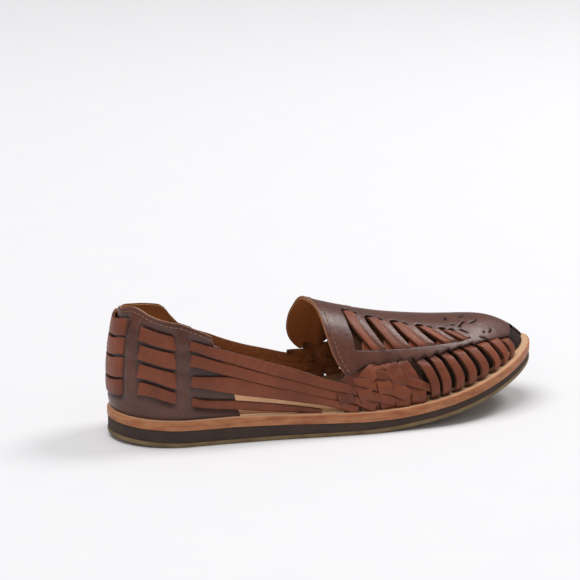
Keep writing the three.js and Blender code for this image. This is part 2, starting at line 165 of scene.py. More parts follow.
WIDTHS = (
    Width(0.16, 33.3, 30.2), Width(0.25, 34.7, 28.2), Width(0.35, 36.9, 26.8),
    Width(0.45, 40.4, 29.1), Width(0.55, 43.4, 34.5), Width(0.62, 44.4, 38.6),
    Width(0.70, 44.8, 42.3),
)
LEDGES = (
    Level(0, 2.6), Level(20, 3.4), Level(50, 4.0), Level(200, 4.2), Level(238, 5.2), Level(250, 5.0),
    Level(262, 3.4),
)
SPINE = (
    Level(36, 112), Level(60, 100), Level(90, 85), Level(117, 71.5), Level(133, 66.2),
    Level(152, 61.2), Level(171, 57.4), Level(196, 54.0), Level(222, 52.0),
)
SECTIONS = (
    Section(0, 0.20, 0.20, 0.88), Section(36, 0.09, 0.30, 0.86), Section(70, 0.04, 0.40, 0.80),
    Section(110, 0.03, 0.45, 0.72), Section(150, 0.05, 0.42, 0.56), Section(190, 0.05, 0.38, 0.52),
    Section(222, 0.04, 0.35, 0.50), Section(258, 0.00, 0.12, 0.50),
)


@dataclass
class Last:
    """The last: sole outline, sole levels and the design surface of the upper."""

    length: float = 262.0
    heel_round: float = 0.16
    toe_round: float = 0.30
    toe_power: float = 0.6
    toe_swing: float = 4.5
    swing_start: float = 0.45
    tip_round: float = 1.6
    tip_start: float = 0.86
    heel_axis: float = 36.0
    toe_axis: float = 222.0
    gum: float = 2.4
    leather: float = 5.4
    gap: float = 0.3
    heel_spring: float = 2.6
    toe_spring: float = 26.0
    outer_width: Curve = field(default_factory=lambda: column(WIDTHS, "outer", "at"))
    inner_width: Curve = field(default_factory=lambda: column(WIDTHS, "inner", "at"))
    ledge: Curve = field(default_factory=lambda: column(LEDGES, "size"))
    spine: Curve = field(default_factory=lambda: column(SPINE, "size"))
    swell: Curve = field(default_factory=lambda: column(SECTIONS, "swell"))
    rise: Curve = field(default_factory=lambda: column(SECTIONS, "rise"))
    fullness: Curve = field(default_factory=lambda: column(SECTIONS, "fullness"))
    origin: Array = field(default_factory=lambda: np.zeros(3))

    def place_in(self, low: Vector) -> None:
        """Finds where the heel edge lies in the frame.

        Args:
            low: lowest corner of the sole's box in the frame, in metres.
        """
        q = np.linspace(0, 1, 2001)
        widest = self.sole(q, np.full_like(q, Side.OUTER))[:, 1].min()
        self.origin = np.array([low.x, low.y - widest * MM, 0.0])

    def to_frame(self, points: Array) -> Array:
        """Points in metres in the frame, from millimetres on the last."""
        return points * MM + self.origin

    def centre(self, x: Array) -> Array:
        """Sideways place of the centre line at a station."""
        share = np.clip((x / self.length - self.swing_start) / (1 - self.swing_start), 0, 1)
        return self.toe_swing * share**2

    def step(self, x: Array | float) -> Array:
        """Step q for a station, from 0 at the heel to 1 at the toe."""
        return np.arccos(1 - 2 * np.clip(np.asarray(x, float) / self.length, 0, 1)) / math.pi

    def station(self, q: Array) -> Array:
        """Station for a step q."""
        return self.length * (1 - np.cos(math.pi * q)) / 2

    def sole(self, q: Array, side: Array) -> Array:
        """Outline of the sole.

        Args:
            q: steps, which may run a little past either end.
            side: side of each step.

        Returns:
            Points (x, y).
        """
        side = np.where((q < 0) | (q > 1), -side, side)
        q = np.where(q < 0, -q, np.where(q > 1, 2 - q, q))
        x = self.station(q)
        t = x / self.length
        width = np.where(side < 0, self.outer_width(t), self.inner_width(t))
        heel = np.clip(self.heel_round - t, 0, 1) / self.heel_round
        toe = np.clip(t - 1 + self.toe_round, 0, 1) / self.toe_round
        half = width * np.sqrt(1 - heel**2) * np.clip(1 - toe**2, 0, 1) ** self.toe_power
        y = self.centre(x) + side * half
        tip = np.clip((t - self.tip_start) / (1 - self.tip_start), 0, 1) ** 2
        return np.stack([x - self.tip_round * tip * smooth(y, -14, 6), y], -1)

    def inset(self, q: Array, side: Array, distance: Array | float) -> Array:
        """Outline moved in towards the middle of the sole by a distance.

        Args:
            q: steps along the sole.
            side: side of each step.
            distance: how far in, in mm.

        Returns:
            flat points.
        """
        small = 0.001
        along = self.sole(q + small, side) - self.sole(q - small, side)
        along /= np.linalg.norm(along, axis=-1, keepdims=True)
        inward = np.stack([along[..., 1], -along[..., 0]], -1) * np.asarray(side)[..., None]
        return self.sole(q, side) + inward * np.asarray(distance)[..., None]

    def floor_lift(self, x: Array) -> Array:
        """Height of the sole's underside.

        Args:
            x: stations.

        Returns:
            heights in mm.
        """
        t = np.clip(x / self.length, 0, 1)
        toe = np.clip(t - 0.52, 0, 1) / 0.48
        heel = np.clip(0.18 - t, 0, 1) / 0.18
        return self.toe_spring * toe**1.83 + self.heel_spring * heel**2

    def midsole_top(self, x: Array) -> Array:
        """Height of the dark midsole's upper face.

        Args:
            x: stations.

        Returns:
            heights in mm.
        """
        t = np.clip(x / self.length, 0, 1)
        thick = np.interp(t, [0, 0.25, 0.65, 1], [7.15, 7.15, 3.9, 3.4])
        return self.floor_lift(x) + self.gum + thick

    def leather_top(self, x: Array) -> Array:
        """Height of the leather sole's upper face."""
        return self.midsole_top(x) + self.leather

    def point(self, q: Array, v: Array, side: Array) -> Array:
        """Point of the design surface.

        Args:
            q: steps, which may run past both ends of the shoe.
            v: share of the way up; past 1 it comes down the other side, below 0 it drops.
            side: side of each point.

        Returns:
            Points in millimetres.
        """
        q, v, side = np.broadcast_arrays(*(np.asarray(a, float) for a in (q, v, side)))
        flip = (v > 1) ^ (q < 0) ^ (q > 1)
        side = np.where(flip, -side, side)
        v = np.where(v > 1, 2 - v, v)
        q = np.where(q < 0, -q, np.where(q > 1, 2 - q, q))
        drop = np.minimum(v, 0) * 100
        v = np.maximum(v, 0)
        x = self.station(q)
        foot = self.inset(q, side, self.ledge(x))
        axis_x = np.clip(x, self.heel_axis, self.toe_axis)
        axis = np.stack([axis_x, self.centre(axis_x)], -1)
        low = self.leather_top(foot[..., 0]) + self.gap
        w0, w1, w2, w3 = (1 - v) ** 3, 3 * (1 - v) ** 2 * v, 3 * (1 - v) * v * v, v**3
        reach = w0 + w1 * (1 + self.swell(x)) + w2 * self.fullness(x)
        lift = w1 * self.rise(x) + w2 + w3
        flat = axis + (foot - axis) * reach[..., None]
        return np.concatenate([flat, (low + (self.spine(axis_x) - low) * lift + drop)[..., None]], -1)

    def normal(self, q: Array, v: Array, side: Array) -> Array:
        """Outward direction of the design surface.

        Args:
            q: steps along the sole.
            v: shares of the rise.
            side: side of each step.

        Returns:
            unit directions.
        """
        q, v, side = np.broadcast_arrays(*(np.asarray(a, float) for a in (q, v, side)))
        dq, dv = 0.004, 0.012
        x = self.station(q)
        poles = (x < self.heel_axis + 4) | (x > self.toe_axis - 4)
        level = np.where(poles, np.minimum(v, 0.96), v)
        level = np.maximum(level, dv)
        along = self.point(q + dq, np.minimum(level, 0.96), side)
        along = along - self.point(q - dq, np.minimum(level, 0.96), side)
        rising = self.point(q, level + dv, side) - self.point(q, level - dv, side)
        out = np.cross(along, rising) * -np.sign(side)[..., None]
        return out / np.linalg.norm(out, axis=-1, keepdims=True)

    def skin(self, s: Array, v: Array, out: Array | float = 0.0) -> Array:
        """Points off the design surface, with s the step signed by its side.

        Args:
            s: signed steps.
            v: shares of the rise.
            out: distance outwards in mm.

        Returns:
            points in mm.
        """
        s, v, out = np.broadcast_arrays(*(np.asarray(a, float) for a in (s, v, out)))
        side = np.where(s < 0, -1.0, 1.0)
        return self.point(np.abs(s), v, side) + self.normal(np.abs(s), v, side) * out[..., None]

    def facing(self, s: Array, v: Array) -> Array:
        """Outward direction at signed steps."""
        return self.normal(np.abs(s), v, np.where(np.asarray(s) < 0, -1.0, 1.0))


# ------------------------------------------------------------------ finishes


@dataclass(frozen=True)
class NodeBench:
    """Short ways to add and link shader nodes in one material."""

    tree: bpy.types.NodeTree

    def add(self, kind: str, **inputs: object) -> bpy.types.Node:
        """Adds a node and fills its inputs by name.

        Args:
            kind: node type.
            **inputs: values, with spaces in a socket's name written as underscores.

        Returns:
            The node.
        """
        node = self.tree.nodes.new(kind)
        for name, value in inputs.items():
            node.inputs[name.replace("_", " ")].default_value = value
        return node

    def link(self, source: bpy.types.NodeSocket, target: bpy.types.NodeSocket) -> None:
        """Links two sockets."""
        self.tree.links.new(source, target)

    def noise(self, vector: bpy.types.NodeSocket, scale: float, detail: float = 3.0) -> bpy.types.NodeSocket:
        """Noise between 0 and 1 on a vector.

        Args:
            vector: where the noise is read.
            scale: its scale.
            detail: octaves.

        Returns:
            the value.
        """
        node = self.add("ShaderNodeTexNoise", Scale=scale, Detail=detail)
        self.link(vector, node.inputs["Vector"])
        return node.outputs["Fac"]

    def stretch(
        self, vector: bpy.types.NodeSocket, scale: tuple[float, float, float]
    ) -> bpy.types.NodeSocket:
        """Vector scaled along its axes.

        Args:
            vector: vector to scale.
            scale: factor on each axis.

        Returns:
            the scaled vector.
        """
        node = self.add("ShaderNodeMapping", Scale=scale)
        self.link(vector, node.inputs["Vector"])
        return node.outputs["Vector"]

    def ramp(self, value: bpy.types.NodeSocket, low: float, high: float) -> bpy.types.NodeSocket:
        """Value mapped so that low becomes 0 and high becomes 1.

        Args:
            value: value to map.
            low: what becomes 0.
            high: what becomes 1.

        Returns:
            the mapped value.
        """
        node = self.add("ShaderNodeMapRange", From_Min=low, From_Max=high)
        self.link(value, node.inputs["Value"])
        return node.outputs["Result"]

    def scaled(self, value: bpy.types.NodeSocket, factor: float) -> bpy.types.NodeSocket:
        """Value times a factor.

        Args:
            value: value to scale.
            factor: factor.

        Returns:
            the product.
        """
        node = self.add("ShaderNodeMath")
        node.operation = "MULTIPLY"
        node.inputs[1].default_value = factor
        self.link(value, node.inputs[0])
        return node.outputs[0]

    def blend(
        self,
        share: bpy.types.NodeSocket,
        first: bpy.types.NodeSocket | Colour,
        second: bpy.types.NodeSocket | Colour,
    ) -> bpy.types.NodeSocket:
        """Colour between two colours.

        Args:
            share: 0 for the first colour, 1 for the second.
            first: a socket or a colour.
            second: a socket or a colour.

        Returns:
            The mixed colour.
        """
        node = self.tree.nodes.new("ShaderNodeMix")
        node.data_type = "RGBA"
        self.link(share, node.inputs[0])
        for socket, colour in ((node.inputs[6], first), (node.inputs[7], second)):
            if isinstance(colour, tuple):
                socket.default_value = (*colour, 1.0)
            else:
                self.link(colour, socket)
        return node.outputs[2]

    def attribute(self, name: str) -> bpy.types.NodeSocket:
        """A number kept on the mesh's points.

        Args:
            name: name of the attribute.

        Returns:
            the number.
        """
        node = self.tree.nodes.new("ShaderNodeAttribute")
        node.attribute_name = name
        return node.outputs["Fac"]

    def bump(
        self, height: bpy.types.NodeSocket, depth: float, under: bpy.types.NodeSocket | None = None
    ) -> bpy.types.NodeSocket:
        """Bump of a depth in metres, laid over another one.

        Args:
            height: relief between 0 and 1.
            depth: its depth.
            under: bump that it lies on.

        Returns:
            the direction of the surface.
        """
        node = self.add("ShaderNodeBump", Strength=1.0, Distance=depth)
        self.link(height, node.inputs["Height"])
        if under is not None:
            self.link(under, node.inputs["Normal"])
        return node.outputs["Normal"]


def srgb(red: int, green: int, blue: int) -> Colour:
    """Linear colour from everyday 0 to 255 values."""

    def linear(value: float) -> float:
        """One channel."""
        return value / 12.92 if value <= 0.04045 else ((value + 0.055) / 1.055) ** 2.4

    return linear(red / 255), linear(green / 255), linear(blue / 255)


@dataclass(frozen=True)
class Leather:
    """Full-grain strap leather: pebble grain, tone per strip, a cut edge colour, flesh side, and painted
    shade mixed in from a mask.
    """

    name: str
    base: Colour
    deep: Colour
    cut: Colour
    flesh: Colour
    painted_shade_colour: Colour
    roughness: float = 0.45
    shine: float = 0.3
    grain: float = 1500.0
    grain_depth: float = 0.00010
    sheen: float = 0.0

    def make(self) -> bpy.types.Material:
        """Builds the material."""
        material = bpy.data.materials.new(self.name)
        material.use_nodes = True
        shader = material.node_tree.nodes["Principled BSDF"]
        bench = NodeBench(material.node_tree)
        where = bench.add("ShaderNodeTexCoord").outputs["Object"]
        cloud = bench.ramp(bench.noise(where, 55.0), 0.35, 0.68)
        mottle = bench.ramp(bench.noise(where, 420.0, 5.0), 0.40, 0.72)
        body = bench.blend(bench.scaled(cloud, 0.75), self.base, self.deep)
        body = bench.blend(bench.scaled(mottle, 0.50), body, self.deep)
        tone = bench.attribute("tone")
        lighter = tuple(min(1.0, 1.7 * c) for c in self.base)
        body = bench.blend(bench.scaled(tone, 0.55), body, lighter)
        edge = bench.noise(where, 900.0, 2.0)
        # Raw cut edges blend to the finish's cut colour; on strap leather that dark brown is partly the
        # edge's own colour and partly painted shade along the edges.
        cut_edge_and_shade = bench.add("ShaderNodeMath")
        cut_edge_and_shade.operation = "MULTIPLY_ADD"
        bench.link(bench.attribute("cut"), cut_edge_and_shade.inputs[0])
        cut_edge_and_shade.inputs[1].default_value = 1.15
        bench.link(bench.scaled(edge, -0.35), cut_edge_and_shade.inputs[2])
        body = bench.blend(bench.ramp(cut_edge_and_shade.outputs[0], 0.1, 0.75), body, self.cut)
        flesh_spots = bench.blend(bench.noise(where, 700.0, 6.0), self.flesh, self.deep)
        under = bench.attribute("under")
        body = bench.blend(under, body, flesh_spots)
        # Painted shade: the mask darkens the colour towards the shade colour in crevices and under other
        # pieces.
        painted_shade = bench.scaled(bench.attribute("painted_shade"), 0.85)
        body = bench.blend(painted_shade, body, self.painted_shade_colour)
        bench.link(body, shader.inputs["Base Color"])
        pores = bench.add("ShaderNodeTexVoronoi", Scale=self.grain)
        bench.link(where, pores.inputs["Vector"])
        relief = bench.bump(pores.outputs["Distance"], self.grain_depth)
        creases = bench.bump(bench.noise(where, 260.0, 6.0), 0.00022, relief)
        bench.link(creases, shader.inputs["Normal"])
        gloss = bench.add("ShaderNodeMapRange", To_Min=self.roughness - 0.07, To_Max=self.roughness + 0.13)
        bench.link(bench.noise(where, 130.0, 4.0), gloss.inputs["Value"])
        dull = bench.add("ShaderNodeMath")
        dull.operation = "MAXIMUM"
        bench.link(gloss.outputs["Result"], dull.inputs[0])
        bench.link(bench.scaled(under, 0.85), dull.inputs[1])
        bench.link(dull.outputs[0], shader.inputs["Roughness"])
        shader.inputs["Specular IOR Level"].default_value = self.shine
        shader.inputs["Sheen Weight"].default_value = self.sheen
        return material


@dataclass(frozen=True)
class StackedLeather:
    """Vegetable-tanned sole leather: pale, with fine layers and burnish on its cut edge."""

    name: str
    base: Colour
    warm: Colour
    burnt: Colour
    pale: Colour
    roughness: float = 0.5

    def make(self) -> bpy.types.Material:
        """Builds the material."""
        material = bpy.data.materials.new(self.name)
        material.use_nodes = True
        shader = material.node_tree.nodes["Principled BSDF"]
        bench = NodeBench(material.node_tree)
        where = bench.add("ShaderNodeTexCoord").outputs["Object"]
        layers = bench.noise(bench.stretch(where, (40.0, 40.0, 1100.0)), 1.0, 5.0)
        blotch = bench.noise(bench.stretch(where, (90.0, 90.0, 260.0)), 1.0, 4.0)
        fibre = bench.noise(where, 1400.0, 4.0)
        body = bench.blend(bench.ramp(blotch, 0.38, 0.66), self.base, self.warm)
        streaks = bench.scaled(bench.ramp(layers, 0.50, 0.75), 0.55)
        side = bench.blend(streaks, body, self.burnt)
        specks = bench.scaled(bench.ramp(fibre, 0.55, 0.8), 0.25)
        side = bench.blend(specks, side, self.burnt)
        face = bench.blend(bench.scaled(specks, 0.8), self.pale, self.base)
        colour = bench.blend(bench.attribute("cut"), face, side)
        bench.link(colour, shader.inputs["Base Color"])
        relief = bench.bump(fibre, 0.00008)
        relief = bench.bump(layers, 0.00014, relief)
        bench.link(relief, shader.inputs["Normal"])
        gloss = bench.add(
            "ShaderNodeMapRange", To_Min=self.roughness - 0.1, To_Max=self.roughness + 0.12
        )
        bench.link(blotch, gloss.inputs["Value"])
        bench.link(gloss.outputs["Result"], shader.inputs["Roughness"])
        return material


@dataclass(frozen=True)
class Rubber:
    """Moulded rubber: matt, faintly mottled, with a fine moulded texture."""

    name: str
    base: Colour
    dust: Colour
    roughness: float = 0.7

    def make(self) -> bpy.types.Material:
        """Builds the material."""
        material = bpy.data.materials.new(self.name)
        material.use_nodes = True
        shader = material.node_tree.nodes["Principled BSDF"]
        bench = NodeBench(material.node_tree)
        where = bench.add("ShaderNodeTexCoord").outputs["Object"]
        cloud = bench.noise(where, 90.0, 5.0)
        specks = bench.noise(where, 1900.0, 2.0)
        body = bench.blend(bench.ramp(cloud, 0.35, 0.75), self.base, self.dust)
        body = bench.blend(bench.scaled(bench.ramp(specks, 0.6, 0.85), 0.5), body, self.dust)
        bench.link(body, shader.inputs["Base Color"])
        relief = bench.bump(specks, 0.00006)
        relief = bench.bump(bench.noise(bench.stretch(where, (60.0, 60.0, 900.0)), 1.0, 3.0), 0.0001, relief)
        bench.link(relief, shader.inputs["Normal"])
        gloss = bench.add(
            "ShaderNodeMapRange", To_Min=self.roughness - 0.08, To_Max=self.roughness + 0.1
        )
        bench.link(cloud, gloss.inputs["Value"])
        bench.link(gloss.outputs["Result"], shader.inputs["Roughness"])
        return material


@dataclass(frozen=True)
class Thread:
    """Twisted sewing thread."""

    name: str
    base: Colour
    shade: Colour

    def make(self) -> bpy.types.Material:
        """Builds the material."""
        material = bpy.data.materials.new(self.name)
        material.use_nodes = True
        shader = material.node_tree.nodes["Principled BSDF"]
        bench = NodeBench(material.node_tree)
        where = bench.add("ShaderNodeTexCoord").outputs["Object"]
        twist = bench.noise(where, 2600.0, 2.0)
        bench.link(bench.blend(twist, self.base, self.shade), shader.inputs["Base Color"])
        bench.link(bench.bump(twist, 0.0001), shader.inputs["Normal"])
        gloss = bench.add("ShaderNodeMapRange", To_Min=0.5, To_Max=0.8)
        bench.link(twist, gloss.inputs["Value"])
        bench.link(gloss.outputs["Result"], shader.inputs["Roughness"])
        return material


@dataclass
class Finishes:
    """Every finish of the sandal, made once."""

    # The strap's dark cut colour is partly the edge's own brown and partly painted shade that deepens the
    # weave's outlines.
    strap: bpy.types.Material = field(default_factory=lambda: Leather(
        "strap_leather", base=srgb(126, 65, 41), deep=srgb(78, 37, 22), cut=srgb(66, 33, 20),
        flesh=srgb(186, 122, 72), painted_shade_colour=srgb(30, 14, 9), roughness=0.40, shine=0.32,
    ).make())
    smooth: bpy.types.Material = field(default_factory=lambda: Leather(
        "smooth_leather", base=srgb(96, 51, 35), deep=srgb(62, 31, 21), cut=srgb(150, 98, 68),
        flesh=srgb(158, 102, 58), painted_shade_colour=srgb(26, 12, 9), roughness=0.33, shine=0.55, grain=2100.0,
        grain_depth=0.00005,
    ).make())
    lining: bpy.types.Material = field(default_factory=lambda: Leather(
        "tan_lining", base=srgb(172, 108, 58), deep=srgb(140, 82, 40), cut=srgb(205, 160, 118),
        flesh=srgb(158, 100, 52), painted_shade_colour=srgb(34, 17, 9), roughness=0.62, grain=1700.0, grain_depth=0.00008,
    ).make())
    # Near-black toe finish: partly a dark lining, partly painted shade inside the toe opening and behind the
    # loops.
    toe_lining_and_shade_skirt: bpy.types.Material = field(default_factory=lambda: Leather(
        "dark_lining_and_painted_shade", base=srgb(46, 29, 21), deep=srgb(30, 18, 13), cut=srgb(40, 25, 18),
        flesh=srgb(38, 24, 18), painted_shade_colour=srgb(14, 8, 6), roughness=0.8, grain=1700.0, grain_depth=0.00008,
    ).make())
    footbed: bpy.types.Material = field(default_factory=lambda: Leather(
        "footbed_leather", base=srgb(204, 160, 124), deep=srgb(184, 138, 102), cut=srgb(196, 150, 112),
        flesh=srgb(190, 150, 116), painted_shade_colour=srgb(96, 62, 40), roughness=0.55, grain=1900.0, grain_depth=0.00005,
    ).make())
    sole: bpy.types.Material = field(default_factory=lambda: StackedLeather(
        "sole_leather", srgb(184, 120, 76), srgb(158, 88, 48), srgb(98, 52, 28), srgb(212, 170, 134),
    ).make())
    midsole: bpy.types.Material = field(default_factory=lambda: Rubber(
        "dark_rubber", srgb(56, 41, 34), srgb(70, 53, 44), roughness=0.8,
    ).make())
    gum: bpy.types.Material = field(default_factory=lambda: Rubber(
        "gum_rubber", srgb(128, 106, 70), srgb(98, 78, 50), roughness=0.65,
    ).make())
    thread: bpy.types.Material = field(default_factory=lambda: Thread(
        "brown_thread", srgb(172, 124, 94), srgb(70, 40, 30),
    ).make())


# ------------------------------------------------------------------ mesh making


@dataclass
class Draft:
    """Points, faces and painted numbers of one piece before it becomes a mesh."""

    points: list[Array] = field(default_factory=list)
    faces: list[tuple[int, ...]] = field(default_factory=list)
    flats: list[Array] = field(default_factory=list)
    cut: list[Array] = field(default_factory=list)
    under: list[Array] = field(default_factory=list)
    painted_shade: list[Array] = field(default_factory=list)
    tone: list[Array] = field(default_factory=list)
    count: int = 0

    def add(
        self, points: Array, faces: Sequence[Sequence[int]], flat: Array, cut: Array, under: Array,
        painted_shade: Array, tone: float,
    ) -> None:
        """Adds a closed patch.

        Args:
            points: its points in millimetres.
            faces: faces as indices into those points.
            flat: flat pattern place of each point, in millimetres.
            cut: how much of each point is raw cut edge.
            under: how much of each point is flesh side.
            painted_shade: how dark each point is painted, as shade in crevices and under other pieces.
            tone: lightness of the whole patch.
        """
        self.points.append(points)
        self.faces.extend(tuple(int(i) + self.count for i in face) for face in faces)
        self.flats.append(flat)
        self.cut.append(cut)
        self.under.append(under)
        self.painted_shade.append(painted_shade)
        self.tone.append(np.full(len(points), tone))
        self.count += len(points)

    def make(
        self, name: str, last: Last, finish: bpy.types.Material, slot: Slot, *stands_for: str
    ) -> bpy.types.Object:
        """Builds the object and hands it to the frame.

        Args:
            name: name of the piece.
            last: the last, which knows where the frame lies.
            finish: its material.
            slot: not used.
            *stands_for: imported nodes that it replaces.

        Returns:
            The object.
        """
        mesh = bpy.data.meshes.new(name)
        mesh.from_pydata(last.to_frame(np.concatenate(self.points)).tolist(), [], self.faces)
        # The painted shade mask is stored with the other numbers; the leather material darkens by it.
        for label, values in (
            ("cut", self.cut), ("under", self.under), ("painted_shade", self.painted_shade), ("tone", self.tone),
        ):
            layer = mesh.attributes.new(label, "FLOAT", "POINT")
            layer.data.foreach_set("value", np.concatenate(values).astype(np.float32))
        flats = np.concatenate(self.flats) * 0.01
        corners = np.zeros(len(mesh.loops), np.int32)
        mesh.loops.foreach_get("vertex_index", corners)
        mesh.uv_layers.new(name="pattern").data.foreach_set("uv", flats[corners].astype(np.float32).ravel())
        work = bmesh.new()
        work.from_mesh(mesh)
        bmesh.ops.remove_doubles(work, verts=work.verts, dist=2e-6)
        bmesh.ops.dissolve_degenerate(work, dist=2e-6, edges=work.edges)
        bmesh.ops.recalc_face_normals(work, faces=work.faces)
        for face in work.faces:
            face.smooth = True
        work.to_mesh(mesh)
        work.free()
        mesh.set_sharp_from_angle(angle=math.radians(62))
        mesh.materials.append(finish)
        piece = bpy.data.objects.new(name, mesh)
        bpy.context.scene.collection.objects.link(piece)
        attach(piece, BODY)
        if stands_for:
            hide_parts(*stands_for)
        log.info("%s: %d faces", name, len(mesh.polygons))
        return piece


@dataclass
class Ribbon:
    """A strip cut from a hide: rounded upper edges, slight crown, flat flesh side."""

    thickness: float = 1.6
    rounding: float = 0.55
    crown: float = 0.22

    def lay(
        self, draft: Draft, left: Array, right: Array, facing: Array, lift: Array, tone: float,
        painted_shade: Array | float = 0.0,
    ) -> None:
        """Lays a strip between two edges.

        Args:
            draft: draft that takes the strip.
            left: points of the left edge.
            right: points of the right edge.
            facing: outward direction at each pair.
            lift: height of the strip at each pair, or at each pair's left and right edge.
            tone: lightness of the strip.
            painted_shade: how dark the strip is painted at each pair, as shade.
        """
        if lift.ndim == 1:
            lift = np.stack([lift, lift], -1)
        width = np.linalg.norm(right - left, axis=1)
        half, r = self.thickness / 2, self.rounding
        near = np.array([0.0, 0.25 * r, 0.6 * r, 1.3 * r])
        drops = np.array([r, 0.42 * r, 0.12 * r, 0.0])
        top_shares = (0.3, 0.5, 0.7)
        columns: list[tuple[Array, Array, float, float]] = []
        for distance, drop in zip(near, drops):
            columns.append((distance / width, half - drop, 1.0 - distance / (1.3 * r), 0.0))
        for share in top_shares:
            columns.append((np.full_like(width, share), half, 0.0, 0.0))
        for distance, drop in zip(near[::-1], drops[::-1]):
            columns.append((1 - distance / width, half - drop, 1.0 - distance / (1.3 * r), 0.0))
        for share in (0.985, 0.7, 0.3, 0.015):
            low = half - 0.15 * self.thickness if share in (0.985, 0.015) else half
            columns.append((np.full_like(width, share), -low, 0.5 if low < half else 0.0, 1.0))
        rows, cut, under, flat = [], [], [], []
        middle = np.linalg.norm(np.diff((left + right) / 2, axis=0), axis=1)
        run = np.concatenate([[0.0], np.cumsum(middle)])
        for share, height, edge, below in columns:
            share = np.asarray(share)[:, None]
            crown = self.crown * (1 - (2 * share[:, 0] - 1) ** 2) if below == 0.0 else 0.0
            tilt = lift[:, 0] + (lift[:, 1] - lift[:, 0]) * share[:, 0]
            rise = (tilt + height + crown)[:, None]
            rows.append(left + (right - left) * share + facing * rise)
            cut.append(np.full(len(width), edge))
            under.append(np.full(len(width), below))
            flat.append(np.stack([run, share[:, 0] * width], -1))
        rings, steps = len(rows), len(width)
        faces = []
        for j in range(rings):
            k = (j + 1) % rings
            for i in range(steps - 1):
                faces.append((j * steps + i, j * steps + i + 1, k * steps + i + 1, k * steps + i))
        faces.append(tuple(j * steps for j in range(rings)))
        faces.append(tuple(j * steps + steps - 1 for j in range(rings - 1, -1, -1)))
        dark = np.tile(painted_shade * np.ones(steps), rings)
        draft.add(
            np.concatenate(rows), faces, np.concatenate(flat), np.concatenate(cut), np.concatenate(under),
            dark, tone,
        )


def inside(points: Array, polygon: Array) -> Array:
    """Which flat points lie inside a closed polygon.

    Args:
        points: points (n, 2).
        polygon: corners (m, 2).

    Returns:
        True for each point inside.
    """
    x, y = points[:, 0:1], points[:, 1:2]
    x0, y0 = polygon[:, 0], polygon[:, 1]
    x1, y1 = np.roll(x0, -1), np.roll(y0, -1)
    crosses = (y0 > y) != (y1 > y)
    safe = np.where(y1 == y0, 1e-12, y1 - y0)
    return (crosses & (x < (x1 - x0) * (y - y0) / safe + x0)).sum(1) % 2 == 1


def distance_to(points: Array, starts: Array, ends: Array) -> Array:
    """Shortest distance from each point to a set of segments.

    Args:
        points: flat points.
        starts: first ends of the segments.
        ends: second ends.

    Returns:
        distance for each point.
    """
    along = ends - starts
    span = np.maximum((along**2).sum(-1), 1e-12)
    best = np.full(len(points), 1e9)
    for first in range(0, len(points), 2000):
        rows = points[first : first + 2000, None, :] - starts[None]
        share = np.clip((rows * along).sum(-1) / span, 0, 1)
        best[first : first + 2000] = np.linalg.norm(rows - along * share[..., None], axis=-1).min(1)
    return best


